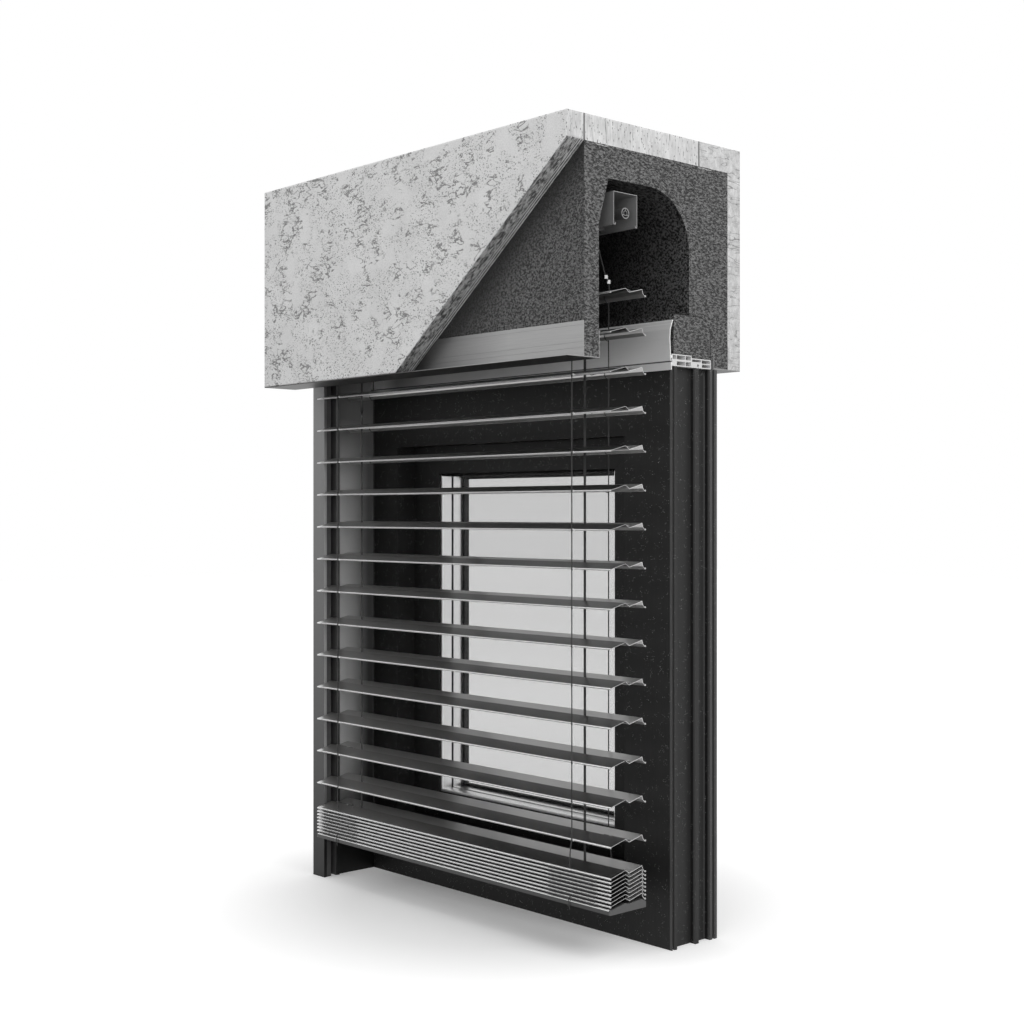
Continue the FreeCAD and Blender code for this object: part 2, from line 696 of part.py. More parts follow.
def make_stop_button():
    """The mushroom button under the headrail that stops the rising slats."""
    under = shaft_height - MOTOR_BELOW_SHAFT
    low = headrail_bottom - STOP_BUTTON_HANG
    place = stop_button_place()
    head = post(STOP_BUTTON_RADIUS, place, shaft_depth, (low, low + STOP_BUTTON_THICKNESS))
    rims = [edge for edge in head.Edges if edge.BoundBox.ZLength < 0.01]
    head = head.makeFillet(STOP_BUTTON_EDGE, rims)
    stem_height = (low + STOP_BUTTON_THICKNESS / 2, under + STOP_STEM_INSIDE)
    stem = post(STOP_STEM_RADIUS, place, shaft_depth, stem_height)
    return fused([head, stem])


def make_limit_button(place):
    """A push button in the underside of the motor that sets an end position."""
    under = shaft_height - MOTOR_BELOW_SHAFT
    height = (under - LIMIT_BUTTON_PROUD, under + LIMIT_BUTTON_INSIDE)
    button = post(LIMIT_BUTTON_RADIUS, MOTOR_START + place, shaft_depth, height)
    foot = [edge for edge in button.Edges if edge.BoundBox.ZMax < under - LIMIT_BUTTON_PROUD / 2]
    return button.makeFillet(LIMIT_BUTTON_EDGE, foot)


def slat_outline(front_height):
    """The folded outline of a slat whose front edge is at the given height."""
    bends = [(slat_front + depth, front_height + height) for depth, height in SLAT_BENDS]
    return sheet_outline(bends, SLAT_SHEET)


def pin_span(right):
    """Where a guide pin lies along the sample: at the right-hand or the left-hand end."""
    if right:
        return (SLAT_START, SLAT_START + PIN_LENGTH)
    return (slat_end - PIN_LENGTH, slat_end + PIN_REACH)


def ring_starts(right):
    """Where the two rings that hold a pin start."""
    if right:
        return [SLAT_START + place for place in PIN_RING_PLACES]
    return [slat_end - place - PIN_RING_WIDTH for place in PIN_RING_PLACES]


def make_slat(front_height, right):
    """A slat with rolled edges, tape slots and the two rings that turn on its guide pin."""
    along = (SLAT_START, slat_end)
    pin_height = front_height + PIN_ABOVE_EDGE
    first = SLAT_BENDS[0]
    last = SLAT_BENDS[-1]
    front_roll = (slat_front + FRONT_ROLL_RADIUS, front_height + first[1] - FRONT_ROLL_DROP)
    rear_roll = (slat_front + last[0] + REAR_ROLL_REACH, front_height + last[1] + REAR_ROLL_LIFT)
    solids = [
        extrusion(slat_outline(front_height), along),
        rod(FRONT_ROLL_RADIUS, along, front_roll[0], front_roll[1]),
        rod(REAR_ROLL_RADIUS, along, rear_roll[0], rear_roll[1]),
    ]
    bore = PIN_RADIUS + RUNNING_CLEARANCE
    for start in ring_starts(right):
        span = (start, start + PIN_RING_WIDTH)
        solids.append(rod(bore + PIN_RING_WALL, span, PIN_LINE, pin_height))
    slat = fused(solids)
    for start in ring_starts(right):
        span = (start - RING_CUT_MARGIN, start + PIN_RING_WIDTH + RING_CUT_MARGIN)
        slat = slat.cut(rod(bore, span, PIN_LINE, pin_height))
    for place in tape_places:
        slot = block(
            (place - SLOT_WIDTH / 2, place + SLOT_WIDTH / 2),
            (PIN_LINE - SLOT_LENGTH / 2, PIN_LINE + SLOT_LENGTH / 2),
            (front_height - SLOT_BELOW, front_height + SLOT_ABOVE),
        )
        slat = slat.cut(slot)
    return slat


def make_pin(front_height, right):
    """A round guide pin: flush with the slat's end at the right, with a guided head at the left."""
    span = pin_span(right)
    height = front_height + PIN_ABOVE_EDGE
    pin = rod(PIN_RADIUS, span, PIN_LINE, height)
    if right:
        return pin
    return fused([pin, rod(PIN_HEAD_RADIUS, (span[1] - PIN_HEAD, span[1]), PIN_LINE, height)])


def hanging_height(index):
    """The height of the front edge of a hanging slat, counted from 0 at the top."""
    return first_slat - index * SLAT_PITCH


def stacked_height(index):
    """The height of the front edge of a stacked slat, counted from 0 at the top."""
    return stack_top - index * STACK_PITCH


def rail_outline(grow):
    """The outline of the bottom rail, drawn in by the wall for its hollow."""
    places = [(slat_front + depth, rail_bottom + height) for depth, height in RAIL_TOP_BENDS]
    front = places[0][0]
    rear = places[-1][0]
    if grow == 0:
        return [(front, rail_bottom)] + places + [(rear, rail_bottom)]
    inner = [(front - grow, places[0][1] + grow)]
    inner += [(depth, height + grow * RAIL_SLOPE_SHARE) for depth, height in places[1:-1]]
    inner.append((rear + grow, places[-1][1] + grow * RAIL_REAR_SHARE))
    return [(front - grow, rail_bottom - grow)] + inner + [(rear + grow, rail_bottom - grow)]


def make_bottom_rail():
    """The hollow bottom rail between its two end caps."""
    along = (SLAT_START + CAP_THICKNESS, slat_end - CAP_THICKNESS)
    rail = extrusion(rail_outline(0), along)
    return rail.cut(extrusion(rail_outline(-RAIL_WALL), along))


def make_end_caps():
    """The two flat end caps of the bottom rail; the left one carries a guide pin."""
    caps = []
    for start in (SLAT_START, slat_end - CAP_THICKNESS):
        caps.append(extrusion(rail_outline(0), (start, start + CAP_THICKNESS)))
    pin_height = rail_bottom + RAIL_FRONT_HEIGHT
    pin = rod(PIN_HEAD_RADIUS, (slat_end - CAP_THICKNESS, slat_end + PIN_REACH), PIN_LINE, pin_height)
    caps[1] = fused([caps[1], pin])
    return caps


def make_ladder_cord(place, front):
    """One upright cord of a ladder, with the slanting lead up to the tilt drum."""
    rear_edge = slat_front + SLAT_BENDS[-1][0] + REAR_ROLL_REACH + REAR_ROLL_RADIUS
    reach = CORD_RADIUS + CORD_CLEARANCE
    depth = slat_front - reach if front else rear_edge + reach
    drum_side = -1 if front else 1
    top_depth = shaft_depth + drum_side * (DRUM_RADIUS + CORD_RADIUS + CORD_DRUM_CLEARANCE)
    bend = point(place, depth, first_slat + CORD_ABOVE_SLAT)
    top = point(place, top_depth, shaft_height - CORD_BELOW_SHAFT)
    foot = point(place, depth, stack_top + CORD_END_ABOVE_STACK)
    knuckle = Part.makeSphere(CORD_RADIUS, bend)
    return fused([cord_run(foot, bend, CORD_RADIUS), cord_run(bend, top, CORD_RADIUS), knuckle])


def rail_top_at(depth):
    """The height of the bottom rail's top at a depth between its two edges."""
    for before, after in zip(RAIL_TOP_BENDS, RAIL_TOP_BENDS[1:]):
        share = (depth - slat_front - before[0]) / (after[0] - before[0])
        if 0 <= share <= 1:
            return rail_bottom + before[1] + share * (after[1] - before[1])
    return rail_bottom


def make_lift_tape(place):
    """A flat lift tape from its spool down through the slats, on their pin line, to the bottom rail."""
    depth = (PIN_LINE - TAPE_THICKNESS / 2, PIN_LINE + TAPE_THICKNESS / 2)
    foot = rail_top_at(depth[1]) + TAPE_CLEARANCE
    under_spool = shaft_height - math.sqrt(SPOOL_CORE_RADIUS ** 2 - (depth[0] - shaft_depth) ** 2)
    along = (place - TAPE_WIDTH / 2, place + TAPE_WIDTH / 2)
    return block(along, depth, (foot, under_spool - TAPE_CLEARANCE))


def make_guide_rail():
    """The guide rail: a channel on a leg that runs back to the frame, notched at the cover."""
    outer = SAMPLE_WIDTH
    head_rear = GUIDE_FRONT + GUIDE_HEAD_DEPTH
    wall = GUIDE_WALL
    head = block((guide_inner, outer), (GUIDE_FRONT, head_rear), (0.0, guide_top))
    head = head.cut(block((guide_inner, channel_end), (channel_front, channel_rear), (0.0, guide_top)))
    for depth in ((GUIDE_FRONT + wall, channel_front - wall), (channel_rear + wall, head_rear - wall)):
        head = head.cut(block((guide_inner + wall, outer - wall), depth, (0.0, guide_top)))
    leg_top = cover_bottom - GUIDE_LEG_BELOW_COVER
    leg_inner = guide_inner + GUIDE_LEG_INSET
    notch = FRAME_SETBACK - GUIDE_LEG_AHEAD_OF_COVER
    leg = block((leg_inner, outer), (head_rear, FRAME_SETBACK), (0.0, guide_top))
    hollow_along = (leg_inner + GUIDE_LEG_WALL, outer - GUIDE_LEG_WALL)
    hollow_depth = (head_rear + GUIDE_LEG_WALL, notch - GUIDE_LEG_WALL)
    leg = leg.cut(block(hollow_along, hollow_depth, (0.0, guide_top)))
    leg = leg.cut(block((leg_inner, outer), (notch, FRAME_SETBACK), (leg_top, guide_top)))
    return fused([head, leg])


def make_guide_liner():
    """The plastic liner in the channel, with the slot that the pins run in."""
    along = (guide_inner + LINER_RECESS, channel_end)
    liner = block(along, (channel_front, channel_rear), (0.0, guide_top))
    slot = (PIN_LINE - LINER_SLOT_AHEAD, PIN_LINE + LINER_SLOT_BEHIND)
    liner = liner.cut(block((along[0], along[1] - LINER_BACK), slot, (0.0, guide_top)))
    lightening = (channel_front + GUIDE_WALL, slot[0] - GUIDE_WALL)
    return liner.cut(block((along[0] + GUIDE_WALL, along[1] - LINER_BACK), lightening, (0.0, guide_top)))


def make_window_frame():
    """The window frame, with the open grooves of its profile along both outer sides."""
    frame = block((0.0, SAMPLE_WIDTH), (FRAME_SETBACK, frame_rear), (0.0, FRAME_HEIGHT))
    side = (FRAME_SIDE_FACE, SAMPLE_WIDTH - FRAME_SIDE_FACE)
    opening = (FRAME_BOTTOM_FACE, FRAME_HEIGHT - FRAME_TOP_FACE)
    frame = frame.cut(block(side, (FRAME_SETBACK, frame_rear), opening))
    for start, width in FRAME_GROOVES:
        depth = (FRAME_SETBACK + start, FRAME_SETBACK + start + width)
        for along in ((0.0, FRAME_GROOVE_DEPTH), (SAMPLE_WIDTH - FRAME_GROOVE_DEPTH, SAMPLE_WIDTH)):
            frame = frame.cut(block(along, depth, (0.0, FRAME_HEIGHT)))
    return frame


def glazing_opening(grow):
    """The limits of the glazed opening along the sample and in height."""
    right = FRAME_SIDE_FACE + GLAZING_RIGHT_FACE
    left = SAMPLE_WIDTH - FRAME_SIDE_FACE - GLAZING_LEFT_FACE
    low = FRAME_BOTTOM_FACE + GLAZING_BOTTOM_FACE
    high = FRAME_HEIGHT - FRAME_TOP_FACE - GLAZING_TOP_FACE
    return (right - grow, left + grow), (low - grow, high + grow)


def make_glazing_frame():
    """The four mitred bars that hold the glass, with a lip in front and a bead behind."""
    front = FRAME_SETBACK + GLAZING_SETBACK
    side = (FRAME_SIDE_FACE, SAMPLE_WIDTH - FRAME_SIDE_FACE)
    rise = (FRAME_BOTTOM_FACE, FRAME_HEIGHT - FRAME_TOP_FACE)
    ring = block(side, (front, frame_rear), rise)
    unit = front + GLAZING_LIP
    along, height = glazing_opening(0.0)
    ring = ring.cut(block(along, (front, unit), height))
    along, height = glazing_opening(-GLAZING_BEAD_SIGHT)
    ring = ring.cut(block(along, (front, frame_rear), height))
    pane_along, pane_height = glazing_opening(PANE_EDGE_COVER + PANE_EDGE_CLEARANCE)
    ring = ring.cut(block(pane_along, (unit, unit + unit_thickness()), pane_height))
    outer = [(side[0], rise[0]), (side[1], rise[0]), (side[1], rise[1]), (side[0], rise[1])]
    inner = [(along[0], height[0]), (along[1], height[0]), (along[1], height[1]), (along[0], height[1])]
    bars = []
    for index in range(4):
        after = (index + 1) % 4
        corners = [outer[index], outer[after], inner[after], inner[index]]
        wedge = face_of([point(place, front, level) for place, level in corners])
        bars.append(ring.common(wedge.extrude(FreeCAD.Vector(0, frame_rear - front, 0))))
    return bars


def unit_thickness():
    """The thickness of three panes and the two gaps between them."""
    return 3 * PANE_THICKNESS + 2 * PANE_GAP


def make_glazing_unit():
    """Three panes with a spacer frame in each gap."""
    along, height = glazing_opening(PANE_EDGE_COVER)
    start = FRAME_SETBACK + GLAZING_SETBACK + GLAZING_LIP
    step = PANE_THICKNESS + PANE_GAP
    solids = []
    for index in range(3):
        depth = start + index * step
        solids.append(block(along, (depth, depth + PANE_THICKNESS), height))
    outer_along, outer_height = glazing_opening(PANE_EDGE_COVER - SPACER_EDGE)
    inner_along, inner_height = glazing_opening(-SPACER_SIGHT)
    for index in range(2):
        depth = start + index * step + PANE_THICKNESS
        ring = block(outer_along, (depth, depth + PANE_GAP), outer_height)
        solids.append(ring.cut(block(inner_along, (depth, depth + PANE_GAP), inner_height)))
    return solids


def main():
    """Build every node and write it to its own file."""
    os.makedirs("parts", exist_ok=True)
    save("render_front", [make_render_front()])
    save("render_top", [make_render_top()])
    save("render_rear", [make_render_rear()])
    save("insulation_box", [make_insulation_box()])
    save("rear_insulation_insert", [insert_shape(0, (0.0, SAMPLE_WIDTH))])
    save("front_base_profile", [make_front_base_profile()])
    save("rear_base_profile", [make_rear_base_profile()])
    save("inner_cover_profile", [make_inner_cover_profile()])
    save("frame_adapter_profile", [make_frame_adapter_profile()])
    save("headrail", [make_headrail()])
    save("headrail_hangers", [make_hanger(place) for place in hanger_places])
    pairs = list(zip(ladder_places, tape_places))
    save("bearing_blocks", [make_bearing_block(ladder, tape) for ladder, tape in pairs])
    right_shaft = (HEADRAIL_END_INSET, MOTOR_START + SOCKET_DEPTH - SOCKET_CLEARANCE)
    left_start = MOTOR_START + MOTOR_LENGTH - SOCKET_DEPTH + SOCKET_CLEARANCE
    left_shaft = (left_start, ladder_places[1] + SHAFT_PAST_LADDER)
    shafts = [make_shaft(right_shaft, tape_places[0], True), make_shaft(left_shaft, tape_places[1], False)]
    save("drive_shaft", shafts)
    save("tilt_drums", [make_tilt_drum(place) for place in ladder_places])
    save("motor", [make_motor()])
    save("stop_button", [make_stop_button()])
    save("upper_limit_button", [make_limit_button(LIMIT_BUTTON_PLACES[0])])
    save("lower_limit_button", [make_limit_button(LIMIT_BUTTON_PLACES[1])])
    save("guide_rail", [make_guide_rail()])
    save("guide_rail_liner", [make_guide_liner()])
    save("window_frame", [make_window_frame()])
    save("glazing_frame", make_glazing_frame())
    save("glazing_unit", make_glazing_unit())
    save("lift_tapes", [make_lift_tape(place) for place in tape_places])
    save("front_ladder_cords", [make_ladder_cord(place, True) for place in ladder_places])
    save("rear_ladder_cords", [make_ladder_cord(place, False) for place in ladder_places])
    models = {right: make_slat(first_slat, right) for right in (True, False)}
    pins = {right: make_pin(first_slat, right) for right in (True, False)}
    for index in range(HANGING_SLATS):
        right = index % 2 == 0
        move = FreeCAD.Vector(0, 0, hanging_height(index) - first_slat)
        number = "%02d" % (index + 1)
        save("slat_" + number, [models[right].translated(move)])
        save("guide_pin_" + number, [pins[right].translated(move)])
    stacked = []
    stacked_pins = []
    for index in range(STACKED_SLATS):
        right = (HANGING_SLATS + index) % 2 == 0
        move = FreeCAD.Vector(0, 0, stacked_height(index) - first_slat)
        stacked.append(models[right].translated(move))
        stacked_pins.append(pins[right].translated(move))
    save("stacked_slats", stacked)
    save("stacked_slat_pins", stacked_pins)
    save("bottom_rail", [make_bottom_rail()])
    save("bottom_rail_end_caps", make_end_caps())
    print("sample", SAMPLE_WIDTH, sample_depth, sample_height)
    print("headrail bottom", headrail_bottom, "first slat", first_slat, "stack top", stack_top)
    print("shaft", shaft_depth, shaft_height, "rail bottom", rail_bottom)


main()
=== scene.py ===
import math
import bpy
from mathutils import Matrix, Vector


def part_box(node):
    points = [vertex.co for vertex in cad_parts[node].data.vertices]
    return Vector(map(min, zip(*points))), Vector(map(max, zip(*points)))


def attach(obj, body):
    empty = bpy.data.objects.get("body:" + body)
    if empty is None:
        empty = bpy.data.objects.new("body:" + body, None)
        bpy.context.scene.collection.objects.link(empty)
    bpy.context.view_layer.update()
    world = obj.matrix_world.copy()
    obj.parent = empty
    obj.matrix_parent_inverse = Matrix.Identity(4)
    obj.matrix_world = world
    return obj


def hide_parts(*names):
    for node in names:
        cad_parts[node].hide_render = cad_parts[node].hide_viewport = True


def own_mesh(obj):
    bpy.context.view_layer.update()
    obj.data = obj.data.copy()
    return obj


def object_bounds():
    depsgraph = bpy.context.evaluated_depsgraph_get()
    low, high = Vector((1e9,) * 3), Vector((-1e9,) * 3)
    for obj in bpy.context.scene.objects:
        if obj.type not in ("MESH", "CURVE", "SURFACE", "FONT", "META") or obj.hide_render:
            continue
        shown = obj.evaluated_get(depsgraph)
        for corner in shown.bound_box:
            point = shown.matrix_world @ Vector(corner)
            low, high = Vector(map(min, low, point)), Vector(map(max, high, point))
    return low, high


bl_info = {
    "name": "External Venetian Blind Dressing",
    "version": (1, 0, 0),
    "blender": (4, 5, 0),
    "location": "View3D > Sidebar > Blind",
    "description": "Finishes and fine pieces of an external venetian blind in its insulated box",
    "category": "Object",
}

import bmesh
import bpy
from bpy.props import FloatProperty, FloatVectorProperty, IntProperty, PointerProperty
from mathutils import Matrix, Vector, noise

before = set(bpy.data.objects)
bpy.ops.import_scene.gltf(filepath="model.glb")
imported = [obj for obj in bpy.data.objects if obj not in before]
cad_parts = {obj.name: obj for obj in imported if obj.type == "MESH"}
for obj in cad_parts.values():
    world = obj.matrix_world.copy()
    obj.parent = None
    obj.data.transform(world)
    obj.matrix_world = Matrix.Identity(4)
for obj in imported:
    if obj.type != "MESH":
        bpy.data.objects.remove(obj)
CAD_BOX = [list(corner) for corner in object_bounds()]

# The sample stands on the floor with its right-hand end at high X and its coat front at low Y.
# All lengths are in metres.
LEFT_END = CAD_BOX[0][0]
RIGHT_END = CAD_BOX[1][0]
COAT_FRONT = CAD_BOX[0][1]
COAT_REAR = CAD_BOX[1][1]
SAMPLE_TOP = CAD_BOX[1][2]
X, Y, Z = range(3)
RIGHTWARD = (1, 0, 0)
LEFTWARD = (-1, 0, 0)
FORWARD = (0, -1, 0)
REARWARD = (0, 1, 0)
UPWARD = (0, 0, 1)
DOWNWARD = (0, 0, -1)

ROOT = "window_and_box"
PACK = "bottom_rail_pack"
HANGING_SLATS = 15
STACKED_SLATS = 8
STACK_PITCH = 0.00665
SLAT_BODIES = ["slat_%02d" % (index + 1) for index in range(HANGING_SLATS)]
PIN_NODES = ["guide_pin_%02d" % (index + 1) for index in range(HANGING_SLATS)]

# How far a slat's front edge stands over the slat's lowest point
EDGE_OVER_LOW = 0.00234

# The underside of a folded slat, as distance behind its front edge and height over it
SLAT_UNDERSIDE = [
    (0.0000, -0.0029),
    (0.0036, -0.0013),
    (0.0370, 0.0075),
    (0.0465, 0.0016),
    (0.0780, 0.0096),
    (0.0790, 0.0030),
    (0.0840, -0.0022),
    (0.0880, -0.0024),
]

# Where the parts of a slat's finish fade in, as two distances from the slat's edge: the painted highlights
# on its rolls, its right cut, which ends before the rear roll, and its left corner, and the painted shade
# on its front facet
FRONT_ROLL = (0.0032, 0.0026)
REAR_ROLL = (0.0026, 0.0020)
RIGHT_CUT = (0.0006, 0.0003)
LEFT_CORNER = (0.0160, 0.0100)
CORNER_DEPTH = (0.0130, 0.0060)
ROLL_SHADOW = (0.0030, 0.0036)
FRONT_FACET = (0.047, 0.040)

# The points of a front cord's slack part, as shares of the way from the last slat to the stack,
# the sideways way of the cords there, and how far a slat's edge sinks when the slats are tilted
SLACK_FROM = 0.12
SLACK_SHARES = (0.25, 0.5, 0.75, 1.0)
SLACK_BULGE = 0.0022
FRONT_SLANT = 0.0046
REAR_SLANT = -0.0080
LEFT_SLANT = -0.0030
FRONT_STACK_GAP = 0.002
REAR_STACK_GAP = 0.004
SLAT_EDGE_DROP = 0.0425

# Sway of an upright cord between two slats, its knot at each slat, and how finely the bends of a
# lead and of a cord's end are divided
SWAY_SHARES = (0.0, 0.33, 0.66)
CORD_SWAY = 0.0003
KNOT_DROP = 0.0014
KNOT_SHIFTS = (-0.0016, -0.0008, 0.0008, 0.0016)
KNOT_SWELL = 1.35
LEAD_STEPS = 3
TAIL_STEPS = 5

# The rear ladder's lead over the top slat and its two clips, as depth and height; a clip's height
# as a share of its side; and where the leads begin and end
LEAD_TURNS = [(0.1910, 1.1474), (0.1906, 1.1600), (0.1845, 1.1725), (0.1780, 1.1845)]
CLIP_PLACES = [(0.1840, 1.1729), (0.1908, 1.1649)]
CLIP_HEIGHT_SHARE = 1.15
CORD_OVER_SLAT = 0.0030
FRONT_LEAD_TOP = 1.2905
REAR_LEAD_TOP = 1.2500

# An eyelet's way from its cord: a little to the right, forwards and down
EYELET_SHIFT = (0.0032, -0.0002, -0.0006)

# A folded loop at the stack, as share of its reach, distance before and distance under the slat's edge
LOOP_LINE = [
    (-1.00, 0.0010, 0.0038),
    (-0.96, 0.0012, 0.0028),
    (-0.45, 0.0014, 0.0026),
    (0.00, 0.0016, 0.0028),
    (0.50, 0.0014, 0.0026),
    (0.96, 0.0012, 0.0028),
    (1.00, 0.0010, 0.0038),
    (0.96, 0.0012, 0.0048),
    (0.40, 0.0015, 0.0047),
    (0.00, 0.0012, 0.0048),
    (-0.50, 0.0014, 0.0048),
    (-0.96, 0.0012, 0.0048),
]

# The right and the left stack of loops, as sideways shift and reach, and how much they vary
LOOP_STACKS = [("right", -0.0008, 0.0594), ("left", 0.00535, 0.0570)]
LOOP_SWAY = 0.0010
LOOP_REACH_CHANGE = 0.0008

# A cord's end at the stack, as share of its slant, way behind the slat's edge, and height over the
# lowest stacked slat for the first two points and over the rail's underside for the others
TAIL_AT_SLAT = [(0.6, -0.0010, 0.0020), (1.3, -0.0022, -0.0040)]
TAIL_AT_RAIL = [(1.6, -0.0024, 0.0040), (1.2, -0.0018, -0.0004), (0.9, -0.0012, -0.0070)]
TAIL_SLANTS = {"right": -0.0050, "left": -0.0020}
TAIL_SHARE = 0.8

# A lift tape's section, as shares of its half width and half thickness
TAPE_OUTLINE = [(-1.0, -0.4), (-0.94, -1.0), (0.94, -1.0), (1.0, -0.4),
                (1.0, 0.4), (0.94, 1.0), (-0.94, 1.0), (-1.0, 0.4)]
TAPE_STEPS = 260

# The half turn of a tape begins this far under the third slat and ends this far over the fourth
TWIST_BELOW = 0.012
TWIST_ABOVE = 0.018

# Depths behind the coat's front: the coat's two seams, and the lines along its slanting cut.
# Each line has its place, its half width and the distance at which it has faded out.
COAT_SEAMS = [(0.0395, 0.0014, 0.0024), (0.3260, 0.0014, 0.0024)]
CUT_LIGHT_LINES = [(0.0378, 0.0006, 0.0012), (0.0325, 0.0008, 0.0014), (0.0276, 0.0005, 0.0011)]
CUT_DARK_LINES = [(0.0353, 0.0005, 0.0011), (0.0301, 0.0004, 0.0010)]

# Heights of the painted highlights on the cover strip's lips and of the painted shade in its groove, in the
# same form
COVER_LIP_HIGHLIGHTS = [(1.0952, 0.0008, 0.0016), (1.0890, 0.0004, 0.0010)]
COVER_GROOVE_SHADES = [(1.0235, 0.0006, 0.0014)]

# The line of the coat's cut on the foam's face: a point as X and height, the way out of it, and the width
# of the painted shadow beside it
CUT_POINT = (0.443, 1.373)
CUT_OUTWARD = (0.617, -0.787)
CUT_SHADOW = 0.075

# Depths behind the coat's front of the guide rail's lip and of its leg, whose inner sides get painted
# light, and of the window's back part, whose sides get more painted light
GUIDE_LIP_END = 0.1285
GUIDE_LEG_START = 0.160
GUIDE_LEG_END = 0.240
WINDOW_BACK = 0.350

# The foam's beads, and the dark joint round the loose strip
BEAD_SIZE = 0.0040
JOINT_WIDTH = 0.0010

# Light strips in the foam's top, as depth behind the coat's front and width, their thickness, their
# length at each end and their hooked rims, and how far the black seal ends inside the sample
ANCHOR_STRIPS = [(0.0670, 0.0285), (0.3235, 0.0380)]
ANCHOR_THICKNESS = 0.0007
ANCHOR_LENGTH = 0.006
ANCHOR_HOOK = 0.003
SEAL_INSET = 0.0005

# How far the window frames cover the glass before and behind it, the spacers' gaps to the glass edge and to
# the panes, the height of their top that gets painted shade, and the roundings of these pieces
FRONT_GLASS_COVER = 0.012
REAR_GLASS_COVER = 0.022
SPACER_EDGE = 0.004
SPACER_GAP = 0.0003
SPACER_SHADE = 0.030
PANE_ROUND = 0.0004
SPACER_ROUND = 0.0008
GASKET_ROUND = 0.0007
GASKET_GAP = 0.0001

# Steps of the grids on the coat and foam, as multiples of the step on their fronts, and how far
# inside the sample's box a face may lie that still counts as an outer one
FRONT_END_STEP = 1.5
REST_END_STEP = 1.2
HIDDEN_STEP = 2.5
FOAM_LEFT_STEP = 1.6
OUTER_BAND = 0.002

# Stretches that draw a pattern out along the sample or upwards
DRAWN_ALONG = (0.02, 1.0, 1.0)
DRAWN_UP = (1.0, 1.0, 0.02)

# Distances, angles and counts for work on meshes
JOIN_DISTANCE = 1e-6
CUT_TOLERANCE = 1e-7
FLAT_ANGLE = math.radians(0.3)
SHARP_ANGLE = math.radians(50)
FACING_LIMIT = 0.95
BORDER_ANGLE = 0.8
BORDER_SHARE = 0.2
ROUND_PROFILE = 0.6
CORD_SMOOTH = 38.0
COAT_SMOOTH = 50.0
FOAM_SMOOTH = 55.0
THIN_SIDES = 6
LOOP_SIDES = 7
EYELET_STEPS = 14

# The camera's place, the sky, and the soft lamps with their place, aim, width and power
CAMERA_SPOT = (2.2170, -1.9567, 0.7604)
SKY_STRENGTH = 0.62
LAMPS = [
    ("right_softbox", (2.6, -0.2, 2.3), (0.0, 0.0, 0.9), 1.6, 34.0),
    ("front_softbox", (-1.2, -2.8, 2.6), (0.0, 0.0, 0.9), 1.8, 22.0),
    ("low_softbox", (1.9, -2.4, 1.1), (-0.3, 0.0, 0.8), 1.2, 12.0),
]

# The floor's own glow, weak near the sample to deepen its shadow with painted shade, as two distances from
# the sample's middle and the strength at each
FLOOR_GLOW = [(0.27, 0.66, 0.10, 0.43), (1.20, 3.40, 0.0, 0.09)]
FLOOR_REACH = 14.0
FLOOR_BOUNCE = (0.22, 0.22, 0.22, 1.0)
FLOOR_SHOWN = (0.90, 0.90, 0.90, 1.0)
WHITE = (1.0, 1.0, 1.0, 1.0)


def linear(grey_value):
    """The linear value of a grey that is given from 0 to 255."""
    share = grey_value / 255.0
    return share / 12.92 if share <= 0.04045 else ((share + 0.055) / 1.055) ** 2.4


def grey(value, warmth=0.0):
    """A linear grey with a slight warm or cool cast, as a tuple for a colour property."""
    middle = linear(value)
    return (middle * (1 + warmth), middle, middle * (1 - warmth))


def size(name, description, default):
    """A length that a user may change."""
    return FloatProperty(name=name, description=description, default=default, min=0.0, max=1.0,
                         precision=4, subtype="DISTANCE", unit="LENGTH")


def colour(name, description, default):
    """A colour that a user may change."""
    return FloatVectorProperty(name=name, description=description, default=default, min=0.0, max=1.0,
                               size=3, subtype="COLOR")


def angle(name, description, degrees):
    """An angle that a user may change."""
    return FloatProperty(name=name, description=description, default=math.radians(degrees),
                         subtype="ANGLE", unit="ROTATION")


class BlindSizes(bpy.types.PropertyGroup):
    """Sizes of the fine pieces on the blind"""

    plaster_step: size("Plaster grid", "Distance between the points of the plaster's face", 0.0028)
    plaster_depth: size("Plaster relief", "Depth of the pits and waves in the plaster", 0.0008)
    insulation_step: size("Insulation grid", "Distance between the points of the insulation's face", 0.0030)
    insulation_depth: size("Insulation relief", "Depth between the insulation's beads", 0.0009)
    cord_radius: size("Ladder cord radius", "Radius of an upright ladder cord", 0.00105)
    rung_radius: size("Rung radius", "Radius of the thin cord under each slat", 0.0006)
    eyelet_radius: size("Eyelet radius", "Radius of the wire loop that holds a rung", 0.0017)
    eyelet_wire: size("Eyelet wire", "Radius of the wire of an eyelet", 0.0004)
    tape_width: size("Lift tape width", "Width of a lift tape", 0.0060)
    tape_thickness: size("Lift tape thickness", "Thickness of a lift tape", 0.0005)
    loop_radius: size("Slack loop radius", "Radius of the cord in the slack loops", 0.0004)
    clip_side: size("Lead clip side", "Side of a clip on the ladder's lead", 0.0054)
    gasket: size("Gasket width", "Width of the window's rubber gaskets", 0.0040)
    spacer_sight: size("Spacer sight width", "How far a spacer shows inside the glass edge", 0.0050)
    pane_thickness: size("Pane thickness", "Thickness of one pane", 0.0040)
    edge_round: size("Edge rounding", "Rounding of the profiles' long edges", 0.0006)
    lens: FloatProperty(name="Lens", description="Focal length of the camera", default=53.746)
    horizon: FloatProperty(name="Horizon shift", description="Upward shift of the view", default=0.001)
    camera_turn: angle("Camera turn", "How far round the sample the camera stands", 47.66)
    sides: IntProperty(name="Cord sides", description="Sides of a round cord", default=10, min=6, max=24)


